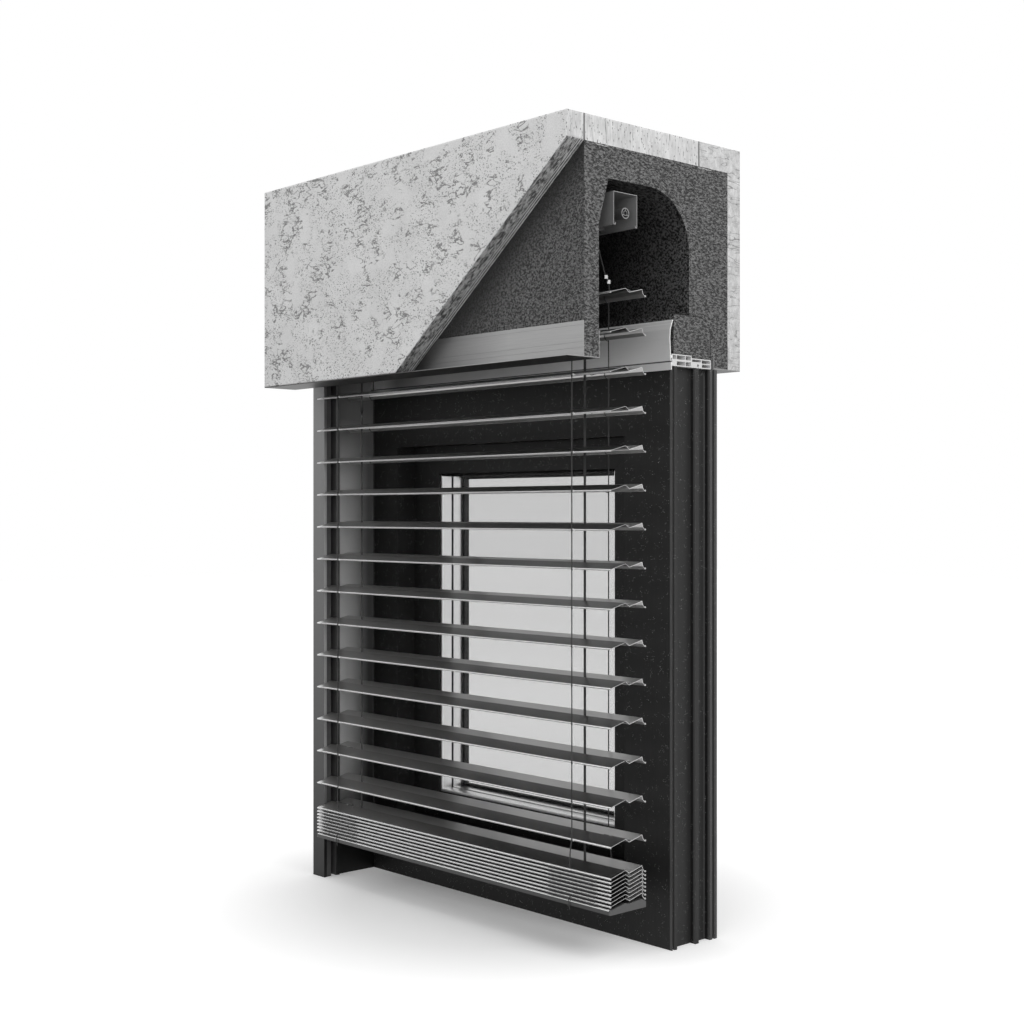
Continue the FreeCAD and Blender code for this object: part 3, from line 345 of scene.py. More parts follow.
class BlindColours(bpy.types.PropertyGroup):
    """Colours of the blind's finishes"""

    plaster: colour("Plaster", "Light grey of the coat's front", grey(236))
    plaster_cut: colour("Cut plaster", "Grey of the coat's cut edge", grey(176))
    plaster_end: colour("Plaster end", "Light grey of the coat's sawn ends", grey(216))
    insulation: colour("Insulation", "Dark grey of the foam", grey(84))
    profile: colour("Box profile", "Satin metal under the box", grey(152))
    cover: colour("Cover strip", "Light satin metal behind the blind", grey(246))
    adapter: colour("Adapter profile", "Off-white plastic of the chambered profile", grey(222))
    headrail: colour("Headrail", "Grey coating of the headrail", grey(140))
    slat: colour("Slat", "Grey metal of the slats", grey(160, 0.01))
    # The colour of the painted highlights on the slats' and bottom rail's edges, and of the eyelets' bright
    # wire
    slat_edge: colour("Slat edge", "Bright metal of the rolled edges", grey(255))
    rail: colour("Bottom rail", "Grey coating of the bottom rail", grey(64))
    guide: colour("Guide rail", "Grey coating of the guide rail", grey(140))
    liner: colour("Liner", "Black plastic in the guide channel", grey(88))
    window: colour("Window profile", "Anthracite of the window frame", grey(21, 0.01))
    speckle: colour("Speckle", "Light flakes in the window's coating", grey(190))
    glass: colour("Glass", "Tint of the panes", grey(90))
    spacer: colour("Spacer", "Light metal between the panes", grey(254))
    rubber: colour("Rubber", "Black of gaskets and seals", grey(18))
    cord: colour("Cord", "Black of the ladder cords", grey(17, 0.02))
    loop: colour("Slack cord", "Dark grey of the slack loops at the stack", grey(30))
    tape: colour("Tape", "Black of the lift tapes", grey(28))
    pin: colour("Guide pin", "Mid grey of the guide pins", grey(90))
    plastic: colour("Bearing plastic", "Pale plastic of the bearings", grey(216))
    motor: colour("Motor", "Bright metal of the motor's housing", grey(190))
    shaft: colour("Shaft", "Grey metal of the drive shaft", grey(100))
    backdrop: colour("Backdrop", "White of the background", (1.0, 1.0, 1.0))


def sizes():
    """The sizes set in the scene."""
    return bpy.context.scene.blind_sizes


def colours():
    """The colours set in the scene."""
    return bpy.context.scene.blind_colours


# Materials


def darker(base, share):
    """A colour scaled towards black."""
    return tuple(channel * share for channel in base)


def lighter(base, share):
    """A colour moved a share of the way to white."""
    return tuple(channel + (1.0 - channel) * share for channel in base)


def add_node(tree, kind, inputs=None, **settings):
    """Add a node with its settings and its inputs, which are plain values or other nodes' outputs."""
    node = tree.nodes.new(kind)
    for name, value in settings.items():
        setattr(node, name, value)
    for key, value in (inputs or {}).items():
        if isinstance(value, bpy.types.NodeSocket):
            tree.links.new(value, node.inputs[key])
        else:
            node.inputs[key].default_value = value
    return node


class Paint:
    """A material that is built up from patterns, from shares between 0 and 1, and from colours"""

    def __init__(self, name, base, roughness, metallic=0.0, specular=0.5):
        self.base = tuple(base)
        self.colour = self.base
        self.material = bpy.data.materials.new(name)
        self.material.use_nodes = True
        self.material.diffuse_color = (*self.base, 1.0)
        self.tree = self.material.node_tree
        self.inputs = self.tree.nodes["Principled BSDF"].inputs
        self.inputs["Base Color"].default_value = (*self.base, 1.0)
        self.inputs["Roughness"].default_value = roughness
        self.inputs["Metallic"].default_value = metallic
        self.inputs["Specular IOR Level"].default_value = specular

    def dark(self, share):
        """The base colour scaled towards black."""
        return darker(self.base, share)

    def light(self, share):
        """The base colour moved a share of the way to white."""
        return lighter(self.base, share)

    def place(self, stretch=(1.0, 1.0, 1.0), turn=(0.0, 0.0, 0.0)):
        """The place of each point on the piece, stretched, and turned by some degrees."""
        source = self.tree.nodes.new("ShaderNodeTexCoord")
        inputs = {"Vector": source.outputs["Object"], "Scale": stretch,
                  "Rotation": [math.radians(degrees) for degrees in turn]}
        return add_node(self.tree, "ShaderNodeMapping", inputs).outputs["Vector"]

    def along(self, axis):
        """The place of each point along one axis of the sample."""
        split = add_node(self.tree, "ShaderNodeSeparateXYZ", {"Vector": self.place()})
        return split.outputs[axis]

    def depth(self):
        """How far each point lies behind the coat's front."""
        return self.minus(self.along("Y"), COAT_FRONT)

    def facing(self, axis):
        """How far the surface looks along one axis, from -1 to 1."""
        source = self.tree.nodes.new("ShaderNodeTexCoord")
        split = add_node(self.tree, "ShaderNodeSeparateXYZ", {"Vector": source.outputs["Normal"]})
        return split.outputs[axis]

    def clouds(self, scale, detail, roughness, distortion=0.0, where=None):
        """Soft irregular noise over the piece."""
        inputs = {"Vector": where or self.place(), "Scale": scale, "Detail": detail,
                  "Roughness": roughness, "Distortion": distortion}
        return add_node(self.tree, "ShaderNodeTexNoise", inputs).outputs["Fac"]

    def cells(self, scale, where=None):
        """Cell noise that looks like packed beads."""
        inputs = {"Vector": where or self.place(), "Scale": scale}
        return add_node(self.tree, "ShaderNodeTexVoronoi", inputs).outputs["Distance"]

    def twist(self, scale, degrees):
        """Slanting bands round a cord, like its twisted strands."""
        inputs = {"Vector": self.place(turn=(0.0, degrees, 0.0)), "Scale": scale, "Distortion": 1.0}
        return add_node(self.tree, "ShaderNodeTexWave", inputs, bands_direction="Z").outputs["Fac"]

    def level(self, value, start, end, at_start=0.0, at_end=1.0):
        """Stretch a value between two limits onto a new range, from 0 to 1 unless told otherwise."""
        inputs = {"Value": value, "From Min": start, "From Max": end, "To Min": at_start, "To Max": at_end}
        return add_node(self.tree, "ShaderNodeMapRange", inputs, clamp=True).outputs["Result"]

    def combined(self, operation, *values):
        """Join values by one operation, from the first to the last."""
        total = values[0]
        for value in values[1:]:
            node = add_node(self.tree, "ShaderNodeMath", {0: total, 1: value}, operation=operation)
            total = node.outputs["Value"]
        return total

    def both(self, *shares):
        """The product of some shares."""
        return self.combined("MULTIPLY", *shares)

    def either(self, *shares):
        """The largest of some shares."""
        return self.combined("MAXIMUM", *shares)

    def plus(self, *values):
        """The sum of some values."""
        return self.combined("ADD", *values)

    def minus(self, first, second):
        """The difference of two values."""
        return self.combined("SUBTRACT", first, second)

    def after(self, value, edge, fade):
        """1 just after an edge; the share falls from the second to the first distance of the fade."""
        return self.level(value, edge + fade[0], edge + fade[1])

    def before(self, value, edge, fade):
        """1 just before an edge; the share rises from the first to the second distance of the fade."""
        return self.level(value, edge - fade[0], edge - fade[1])

    def near(self, value, target, full, none):
        """1 where a value is within `full` of a target, falling to 0 at a distance of `none`."""
        gap = self.combined("ABSOLUTE", self.minus(value, target), 0.0)
        return self.level(gap, none, full)

    def lines(self, value, lines):
        """1 on each of some lines, given as the target and the two distances that `near` takes."""
        return self.either(*[self.near(value, *line) for line in lines])

    def mixed(self, share, first, second):
        """A mix of two colours: the first where a share is 0 and the second where it is 1."""
        node = add_node(self.tree, "ShaderNodeMix", data_type="RGBA")
        sockets = [socket for socket in node.inputs if socket.type == "RGBA"]
        for socket, value in zip(sockets, (first, second)):
            if isinstance(value, bpy.types.NodeSocket):
                self.tree.links.new(value, socket)
            else:
                socket.default_value = (*value, 1.0)
        self.tree.links.new(share, node.inputs["Factor"])
        return [socket for socket in node.outputs if socket.type == "RGBA"][0]

    def tones(self, share, first, second):
        """Make the material's colour a mix of two colours."""
        self.colour = self.mixed(share, first, second)
        self.tree.links.new(self.colour, self.inputs["Base Color"])

    def over(self, share, top, strength=1.0):
        """Lay a colour on the material where a share is 1."""
        if strength < 1.0:
            share = self.both(share, strength)
        self.tones(share, self.colour, top)

    def outside(self, share, top):
        """Lay a colour on the material where a share is 0."""
        self.tones(share, top, self.colour)

    def gloss(self, share, low, high):
        """Let the roughness vary between two values."""
        self.tree.links.new(self.level(share, 0.3, 0.7, low, high), self.inputs["Roughness"])

    def bump(self, height, strength, distance):
        """Raise or sink the surface's shading by a height that varies over it."""
        inputs = {"Strength": strength, "Distance": distance, "Height": height}
        node = add_node(self.tree, "ShaderNodeBump", inputs)
        self.tree.links.new(node.outputs["Normal"], self.inputs["Normal"])

    def drawn_lines(self):
        """Faint lines along the length of a drawn profile."""
        return self.clouds(scale=900, detail=3, roughness=0.6, where=self.place(DRAWN_ALONG))


def plaster_front_finish():
    """The coat's front: pale with fine sand, and pits and short wrinkles between smooth places, darkened by
    painted shade.
    """
    paint = Paint("plaster_front", colours().plaster, 0.92, specular=0.25)
    patches = paint.clouds(scale=16, detail=3, roughness=0.55)
    sand = paint.clouds(scale=420, detail=2, roughness=0.7)
    rough = paint.level(paint.clouds(scale=24, detail=2, roughness=0.5), 0.40, 0.50)
    grain_place = paint.place(stretch=(0.75, 1.0, 1.15), turn=(0, 25, 0))
    grain = paint.clouds(scale=440, detail=1, roughness=0.5, distortion=0.4, where=grain_place)
    pits = paint.both(paint.level(grain, 0.39, 0.35), rough)
    bend_place = paint.place(stretch=(0.6, 1.0, 1.3))
    bends = paint.clouds(scale=46, detail=3, roughness=0.6, distortion=0.4, where=bend_place)
    thin = paint.near(bends, 0.5, full=0.012, none=0.034)
    short = paint.level(paint.clouds(scale=30, detail=2, roughness=0.5), 0.53, 0.58)
    marks = paint.either(pits, paint.both(thin, short))
    tone = paint.level(paint.plus(paint.both(patches, 0.5), sand), 0.58, 0.92)
    paint.tones(tone, paint.dark(0.86), paint.light(0.14))
    # Painted shade: the pits and wrinkles are darkened as if shade lay in them
    paint.over(marks, paint.dark(0.22), strength=0.85)
    paint.bump(paint.minus(paint.both(sand, 0.35), marks), strength=0.55, distance=0.0010)
    return paint.material


def plaster_end_finish():
    """The coat's sawn end: pale, with fine upright saw marks, small pits and its seams; the saw cuts and
    pits are darkened by painted shade, and the seams are dark lines.
    """
    paint = Paint("plaster_end", colours().plaster_end, 0.88, specular=0.25)
    upright = paint.place(stretch=(1.0, 1.0, 0.07))
    streaks = paint.clouds(scale=520, detail=3, roughness=0.7, where=upright)
    patches = paint.clouds(scale=60, detail=4, roughness=0.6, where=paint.place((1.0, 1.0, 0.45)))
    cuts = paint.clouds(scale=330, detail=1, roughness=0.5, where=upright)
    holes = paint.clouds(scale=280, detail=1, roughness=0.5, where=paint.place((1.0, 1.0, 0.5)))
    seams = paint.lines(paint.depth(), COAT_SEAMS)
    marks = paint.either(paint.level(cuts, 0.31, 0.26), paint.level(holes, 0.36, 0.30), seams)
    tone = paint.level(paint.plus(streaks, patches), 0.80, 1.20)
    paint.tones(tone, paint.dark(0.80), paint.light(0.22))
    # Painted shade in the saw cuts and pits, laid on with the dark seam lines
    paint.over(marks, paint.dark(0.14), strength=0.85)
    paint.bump(paint.minus(paint.both(streaks, 0.4), marks), strength=0.40, distance=0.0010)
    return paint.material


def plaster_rear_end_finish():
    """The rear coat's end: pale and mottled, with cracks across it that are darkened by painted shade, and
    dark seam lines.
    """
    paint = Paint("plaster_rear_end", colours().plaster_end, 0.90, specular=0.25)
    patch_place = paint.place(stretch=(1.0, 1.0, 0.8))
    patches = paint.clouds(scale=75, detail=5, roughness=0.65, distortion=0.5, where=patch_place)
    fine = paint.clouds(scale=480, detail=3, roughness=0.7)
    bend_place = paint.place(stretch=(1.0, 0.30, 1.5))
    bends = paint.clouds(scale=40, detail=2, roughness=0.6, distortion=0.8, where=bend_place)
    cracks = paint.near(bends, 0.5, full=0.004, none=0.014)
    seams = paint.lines(paint.depth(), COAT_SEAMS)
    marks = paint.either(paint.both(cracks, 0.75), seams)
    tone = paint.level(paint.plus(patches, paint.both(fine, 0.5)), 0.58, 0.92)
    paint.tones(tone, paint.dark(0.70), paint.light(0.18))
    # Painted shade in the cracks, laid on with the dark seam lines
    paint.over(marks, paint.dark(0.16), strength=0.85)
    paint.bump(paint.minus(paint.both(fine, 0.5), marks), strength=0.5, distance=0.0010)
    return paint.material


def plaster_cut_finish(slope):
    """The coat's slanting cut, at a slope in degrees: marbled grey with light and dark lines along it."""
    paint = Paint("plaster_cut", colours().plaster_cut, 0.85, specular=0.3)
    along_cut = paint.place(stretch=(0.06, 1.7, 1.0), turn=(0, slope, 0))
    streaks = paint.clouds(scale=150, detail=3, roughness=0.65, distortion=0.3, where=along_cut)
    vein_place = paint.place(stretch=(0.28, 1.4, 1.0), turn=(0, slope, 0))
    veins = paint.clouds(scale=85, detail=4, roughness=0.6, distortion=0.9, where=vein_place)
    depth = paint.depth()
    wavy = paint.level(paint.clouds(scale=60, detail=2, roughness=0.5, where=along_cut), 0.30, 0.46)
    marbled = paint.plus(streaks, veins)
    paint.tones(paint.level(marbled, 0.86, 1.14), paint.dark(0.26), paint.light(0.42))
    paint.over(paint.lines(depth, CUT_DARK_LINES), paint.dark(0.12), strength=0.85)
    paint.over(paint.both(paint.lines(depth, CUT_LIGHT_LINES), wavy), paint.light(0.60))
    paint.bump(marbled, strength=0.7, distance=0.0014)
    return paint.material


def foam_finish(name, base, strength, shade_left=False, deep=False):
    """Dark moulded foam of packed beads; if asked, painted shadow beside the coat's cut and towards the
    left, or painted shade deep in the hollow, darker towards the left.
    """
    paint = Paint(name, base, 0.58, specular=0.15 if deep else 0.5)
    where = paint.place(stretch=(1.0, 0.62, 1.15), turn=(-35, 20, 0))
    swirl = paint.clouds(scale=1.0 / BEAD_SIZE, detail=2, roughness=0.6, distortion=0.3, where=where)
    beads = paint.cells(scale=1.2 / BEAD_SIZE, where=where)
    fine = paint.clouds(scale=700, detail=2, roughness=0.6, where=where)
    tone = paint.level(paint.plus(swirl, paint.both(fine, 0.3)), 0.57, 0.73)
    paint.tones(tone, paint.dark(0.20), paint.light(0.15))
    if shade_left:
        # Painted shadow beside the coat's slanting cut, and painted shade towards the left
        lit = paint.both(paint.level(paint.along("X"), -0.02, 0.30), away_from_cut(paint))
        paint.outside(lit, paint.dark(0.22))
    if deep:
        # Painted shade in the hollow, darker towards the left
        paint.outside(paint.level(paint.along("X"), 0.20, 0.44), paint.dark(0.2))
    flecks = paint.level(paint.cells(scale=190, where=where), 0.13, 0.06)
    paint.over(flecks, paint.light(0.4), strength=0.22)
    height = paint.minus(paint.both(swirl, 1.6), paint.both(beads, 0.6))
    paint.bump(paint.plus(height, paint.both(fine, 0.25)), strength, distance=BEAD_SIZE * 1.6)
    return paint.material


def away_from_cut(paint):
    """0 in the painted shadow beside the coat's slanting cut, 1 further down the foam's face."""
    across = paint.both(paint.minus(paint.along("X"), CUT_POINT[0]), CUT_OUTWARD[0])
    down = paint.both(paint.minus(paint.along("Z"), CUT_POINT[1]), CUT_OUTWARD[1])
    return paint.level(paint.plus(across, down), 0.0, CUT_SHADOW)


def base_profile_finish():
    """The base profiles' satin metal, darkened towards the left and on its underside by painted shade."""
    paint = Paint("profile_metal", colours().profile, 0.42, metallic=0.45)
    drawn = paint.drawn_lines()
    paint.tones(drawn, paint.dark(0.86), paint.light(0.08))
    # Painted shade towards the left and on the underside
    paint.outside(paint.level(paint.along("X"), 0.02, 0.26), paint.dark(0.16))
    paint.over(paint.level(paint.facing("Z"), -0.5, -0.8), paint.dark(0.03))
    paint.bump(drawn, strength=0.12, distance=0.0003)
    return paint.material


def cover_finish():
    """The cover strip's satin metal with painted light: lighter towards the right and at its far left end,
    painted highlights on its lips and painted shade in its groove.
    """
    paint = Paint("cover_metal", colours().cover, 0.40, metallic=0.35)
    height = paint.along("Z")
    along = paint.along("X")
    drawn = paint.drawn_lines()
    paint.tones(drawn, paint.dark(0.92), paint.base)
    # Painted light: the strip darkens towards the left, except at its far left end
    lit = paint.either(paint.level(along, -0.30, 0.20, 0.25, 1.0), paint.level(along, -0.31, -0.37))
    paint.outside(lit, paint.dark(0.25))
    # Painted highlights on the lips and painted shade in the groove
    paint.over(paint.lines(height, COVER_LIP_HIGHLIGHTS), paint.light(0.7))
    paint.over(paint.lines(height, COVER_GROOVE_SHADES), paint.dark(0.05))
    paint.bump(drawn, strength=0.08, distance=0.0003)
    return paint.material


def guide_finish():
    """The guide rail's satin coating, which gets darker towards its foot and has painted light on the inner
    sides of its lip and leg.
    """
    paint = Paint("guide_coating", colours().guide, 0.42, metallic=0.2)
    peel = paint.clouds(scale=900, detail=2, roughness=0.5)
    drawn = paint.clouds(scale=500, detail=2, roughness=0.5, where=paint.place(DRAWN_UP))
    height = paint.along("Z")
    depth = paint.depth()
    paint.tones(drawn, paint.dark(0.92), paint.light(0.015))
    paint.outside(paint.level(height, 0.05, 1.10), paint.dark(0.0))
    # Painted light on the inner sides of the lip and leg, away from the foot
    lip = paint.both(paint.level(depth, GUIDE_LIP_END + 0.001, GUIDE_LIP_END), 0.6)
    leg = paint.both(paint.level(depth, GUIDE_LEG_START, GUIDE_LEG_START + 0.002),
                     paint.level(depth, GUIDE_LEG_END, GUIDE_LEG_START + 0.006))
    inner_side_light = paint.both(paint.level(paint.facing("X"), 0.5, 0.9), paint.level(height, 0.96, 0.84),
                        paint.level(height, 0.10, 0.24))
    paint.over(paint.both(paint.either(lip, leg), inner_side_light), paint.light(0.75))
    paint.bump(peel, strength=0.12, distance=0.0004)
    return paint.material


def bottom_rail_finish():
    """The bottom rail's coating, with a painted highlight along the upper edge of its front."""
    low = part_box("bottom_rail")[0]
    paint = Paint("bottom_rail_coating", colours().rail, 0.40, metallic=0.3)
    drawn = paint.clouds(scale=700, detail=2, roughness=0.5, where=paint.place(DRAWN_ALONG))
    paint.tones(drawn, paint.dark(0.92), paint.light(0.01))
    # Painted highlight: a line in the edge highlight colour along the front's upper edge
    lip = paint.near(paint.along("Z"), low.z + 0.0080, full=0.0008, none=0.0014)
    front = paint.level(paint.along("Y"), low.y + 0.0040, low.y + 0.0030)
    paint.over(paint.both(lip, front), tuple(colours().slat_edge))
    paint.bump(drawn, strength=0.08, distance=0.0003)
    return paint.material


def drawn_metal_finish(name, base, roughness, metallic):
    """Drawn or coated metal with faint lines along its length."""
    paint = Paint(name, base, roughness, metallic)
    drawn = paint.drawn_lines()
    paint.tones(drawn, paint.dark(0.90), paint.light(0.04))
    paint.gloss(paint.clouds(scale=14, detail=3, roughness=0.5), roughness * 0.85, roughness * 1.2)
    paint.bump(drawn, strength=0.10, distance=0.0003)
    return paint.material


def cut_metal_finish(name, base, node, roughness, metallic):
    """Coated metal whose right-hand cut edge is left bright."""
    paint = Paint(name, base, roughness, metallic)
    drawn = paint.drawn_lines()
    paint.tones(drawn, paint.dark(0.90), paint.base)
    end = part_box(node)[1].x
    paint.over(paint.level(paint.along("X"), end - 0.0008, end - 0.0003), paint.light(0.12))
    paint.bump(drawn, strength=0.08, distance=0.0003)
    return paint.material


def plastic_finish(name, base, roughness, tone=0.06):
    """Moulded or extruded plastic with slight clouds and a soft texture."""
    paint = Paint(name, base, roughness)
    patches = paint.clouds(scale=30, detail=3, roughness=0.6)
    paint.tones(patches, paint.dark(1.0 - tone), paint.light(tone * 0.5))
    paint.gloss(patches, roughness * 0.9, roughness * 1.15)
    paint.bump(paint.clouds(scale=1100, detail=2, roughness=0.5), strength=0.12, distance=0.0003)
    return paint.material


def slat_edges(paint, low, high):
    """1 on a slat's painted highlights: the crest and lower side of its front roll, its rear roll, its left
    corner, and its right cut, which is partly uncoated metal.
    """
    depth = paint.along("Y")
    along = paint.along("X")
    upward = paint.facing("Z")
    crest = paint.level(upward, 0.20, 0.36)
    belly = paint.both(paint.level(upward, -0.22, -0.40), 0.85)
    rolls = paint.either(paint.both(paint.after(depth, low.y, FRONT_ROLL), paint.either(crest, belly)),
                         paint.both(paint.before(depth, high.y, REAR_ROLL), 0.4))
    before_roll = paint.both(paint.before(depth, high.y, ROLL_SHADOW), 0.5)
    right_cut = paint.both(paint.before(along, high.x, RIGHT_CUT), before_roll)
    left_corner_glint = paint.both(paint.after(along, low.x, LEFT_CORNER), paint.after(depth, low.y, CORNER_DEPTH))
    # Random changes in the strength of the painted highlights
    highlight_variation = paint.level(paint.clouds(scale=160, detail=3, roughness=0.6), 0.25, 0.5, 0.85, 1.0)
    return paint.both(paint.either(rolls, right_cut, left_corner_glint), highlight_variation)


def slat_finish(low, high):
    """Dark coated slat with a metal sheen, painted shade on its front facet and its rolls, and painted
    highlights on its rolled edges and corner, with a bright right cut end that is partly uncoated metal and
    partly painted highlight.
    """
    paint = Paint("slat_coating", colours().slat, 0.33, metallic=0.80)
    depth = paint.along("Y")
    along = paint.along("X")
    edges = slat_edges(paint, low, high)
    fine = paint.clouds(scale=700, detail=3, roughness=0.6, where=paint.place((0.05, 1.0, 1.0)))
    patches = paint.clouds(scale=7, detail=2, roughness=0.5)
    tone = paint.plus(paint.both(fine, 0.5), paint.both(patches, 0.5))
    paint.tones(tone, paint.light(0.18), paint.light(0.25))
    # Painted shade on the front facet, darker towards the right
    front_facet_shade = paint.mixed(paint.level(along, -0.30, 0.15), paint.light(0.02), paint.dark(0.16))
    paint.over(paint.after(depth, low.y, FRONT_FACET), front_facet_shade)
    # Painted shade on the front roll and at the rear roll's right end, between the highlights
    paint.over(paint.after(depth, low.y, FRONT_ROLL), paint.dark(0.05), strength=0.9)
    rear_corner_shade = paint.both(paint.before(depth, high.y, REAR_ROLL), paint.before(along, high.x, RIGHT_CUT))
    paint.over(rear_corner_shade, paint.dark(0.05), strength=0.8)
    # Painted highlights on the edges, which are made less metallic
    paint.over(edges, tuple(colours().slat_edge))
    highlight_metallic = paint.level(edges, 0.2, 0.8, 0.80, 0.12)
    paint.tree.links.new(highlight_metallic, paint.inputs["Metallic"])
    paint.bump(fine, strength=0.01, distance=0.0002)
    return paint.material


def window_finish():
    """Anthracite coating with fine light flakes and faint upright lines; painted light on its right-facing
    sides, stronger on the back part, and a painted highlight on the front rim at the right end.
    """
    paint = Paint("window_coating", colours().window, 0.55, specular=0.3)
    flakes = paint.level(paint.cells(scale=380), 0.20, 0.12)
    sparse = paint.level(paint.clouds(scale=90, detail=2, roughness=0.5), 0.54, 0.60)
    drawn = paint.clouds(scale=420, detail=2, roughness=0.5, where=paint.place((1.0, 1.0, 0.03)))
    paint.tones(drawn, paint.dark(0.80), paint.light(0.008))
    # Painted light on the right-facing sides
    side = paint.level(paint.facing("X"), 0.4, 0.9)
    paint.over(side, paint.light(0.016), strength=0.8)
    forward = paint.level(paint.facing("Y"), -0.5, -0.9)
    # Painted highlight on the front faces at the right end's rim
    rim = paint.level(paint.along("X"), RIGHT_END - 0.0060, RIGHT_END - 0.0045)
    paint.over(paint.both(forward, rim), paint.light(0.085))
    # More painted light on the sides of the window's back part
    back = paint.level(paint.depth(), WINDOW_BACK, WINDOW_BACK + 0.004)
    paint.over(paint.both(side, back), paint.light(0.060))
    paint.over(paint.both(flakes, sparse), tuple(colours().speckle), strength=0.8)
    paint.bump(paint.clouds(scale=800, detail=2, roughness=0.5), strength=0.15, distance=0.0004)
    return paint.material


def spacer_finish():
    """Bright satin metal of the spacers, with faint upright lines."""
    paint = Paint("spacer_metal", colours().spacer, 0.30, metallic=0.95)
    drawn = paint.clouds(scale=600, detail=2, roughness=0.5, where=paint.place(DRAWN_UP))
    paint.tones(drawn, paint.dark(0.94), paint.base)
    paint.bump(drawn, strength=0.04, distance=0.0002)
    return paint.material


def glass_finish():
    """Clear flat glass with a slight grey tint; most light passes straight through."""
    paint = Paint("pane_glass", colours().glass, 0.10, specular=0.3)
    paint.inputs["Alpha"].default_value = 0.10
    paint.tones(paint.clouds(scale=3, detail=2, roughness=0.5), paint.dark(0.9), paint.base)
    return paint.material


def cord_finish(name, base, lay):
    """Braided cord: slanting strands with a dull sheen, darker between the strands."""
    paint = Paint(name, base, 0.78, specular=0.3)
    paint.inputs["Sheen Weight"].default_value = 0.25
    paint.inputs["Sheen Roughness"].default_value = 0.5
    braid = paint.either(paint.twist(lay, 35), paint.twist(lay, -35))
    paint.tones(braid, paint.dark(0.5), paint.light(0.05))
    paint.bump(braid, strength=0.5, distance=0.0003)
    return paint.material


def rubber_finish():
    """Black rubber of the seals and gaskets."""
    return plastic_finish("black_rubber", colours().rubber, 0.55, tone=0.2)


# Meshes


def piece_from(shape, name, body, materials, smooth=None):
    """Make an object from a shape, on its body; edges under `smooth` degrees are shaded softly."""
    mesh = bpy.data.meshes.new(name)
    shape.to_mesh(mesh)
    shape.free()
    for material in materials:
        mesh.materials.append(material)
    item = bpy.data.objects.new(name, mesh)
    bpy.context.scene.collection.objects.link(item)
    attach(item, body)
    if smooth is not None:
        mesh.polygons.foreach_set("use_smooth", [True] * len(mesh.polygons))
        mesh.set_sharp_from_angle(angle=math.radians(smooth))
        mesh.update()
    return item


def cord_piece(shape, name, body, finish):
    """Make an object from a shape of closed cords."""
    outward(shape)
    return piece_from(shape, name, body, [finish], CORD_SMOOTH)


def outward(shape):
    """Make all faces of a closed shape look outwards."""
    bmesh.ops.recalc_face_normals(shape, faces=shape.faces)


def bridge(shape, first, second):
    """Join two rings of points by a band of faces."""
    for index in range(len(first)):
        after = (index + 1) % len(first)
        shape.faces.new((first[index], first[after], second[after], second[index]))


def cap(shape, rings):
    """Close the two open ends of a row of rings."""
    shape.faces.new(rings[0][::-1])
    shape.faces.new(rings[-1])


def add_tube(shape, points, radius, sides=None, closed=False):
    """Add a round tube that follows a line of points, with closed ends."""
    sides = sides or sizes().sides
    count = len(points)
    rings = []
    across = None
    for index, here in enumerate(points):
        before = points[(index - 1) % count] if closed or index > 0 else here
        after = points[(index + 1) % count] if closed or index + 1 < count else here
        way = (after - before).normalized()
        if across is None:
            across = way.orthogonal().normalized()
        across = (across - way * across.dot(way)).normalized()
        other = way.cross(across)
        ring = []
        for step in range(sides):
            turn = 2 * math.pi * step / sides
            spot = here + (across * math.cos(turn) + other * math.sin(turn)) * radius
            ring.append(shape.verts.new(spot))
        rings.append(ring)
    for lower, upper in zip(rings, rings[1:]):
        bridge(shape, lower, upper)
    if closed:
        bridge(shape, rings[-1], rings[0])
    else:
        cap(shape, rings)


def add_box(shape, low, high):
    """Add a plain block between two corners and return its points."""
    corners = []
    for x in (low[0], high[0]):
        for y in (low[1], high[1]):
            for z in (low[2], high[2]):
                corners.append(shape.verts.new((x, y, z)))
    for face in ((0, 1, 3, 2), (4, 6, 7, 5), (0, 4, 5, 1), (2, 3, 7, 6), (0, 2, 6, 4), (1, 5, 7, 3)):
        shape.faces.new([corners[index] for index in face])
    return corners


def add_prism(shape, outline, low, high):
    """Add a long piece with a cross-section of (depth, height) points, between two X values."""
    ends = []
    for x in (low, high):
        ends.append([shape.verts.new((x, COAT_FRONT + depth, height)) for depth, height in outline])
    bridge(shape, *ends)
    cap(shape, ends)


def smooth_line(points, steps):
    """A smooth line through control points, with its ends kept."""
    line = []
    count = len(points)
    for index in range(count - 1):
        before = points[max(index - 1, 0)]
        start = points[index]
        end = points[index + 1]
        after = points[min(index + 2, count - 1)]
        for step in range(steps):
            share = step / steps
            line.append(0.5 * (
                2 * start
                + (end - before) * share
                + (2 * before - 5 * start + 4 * end - after) * share ** 2
                + (3 * start - before - 3 * end + after) * share ** 3
            ))
    line.append(points[-1].copy())
    return line


def soften(shape, width, segments=2):
    """Round the sharp edges of a shape."""
    sharp = [edge for edge in shape.edges if len(edge.link_faces) == 2
             and edge.calc_face_angle(0.0) > SHARP_ANGLE]
    bmesh.ops.bevel(shape, geom=sharp, offset=width, segments=segments, affect="EDGES",
                    profile=ROUND_PROFILE, clamp_overlap=True)


def whole_copy(node):
    """A copy of a solid's mesh with its points joined and its flat faces in one piece."""
    shape = bmesh.new()
    shape.from_mesh(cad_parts[node].data)
    bmesh.ops.remove_doubles(shape, verts=shape.verts, dist=JOIN_DISTANCE)
    bmesh.ops.dissolve_limit(shape, angle_limit=FLAT_ANGLE, verts=shape.verts, edges=shape.edges)
    shape.normal_update()
    return shape


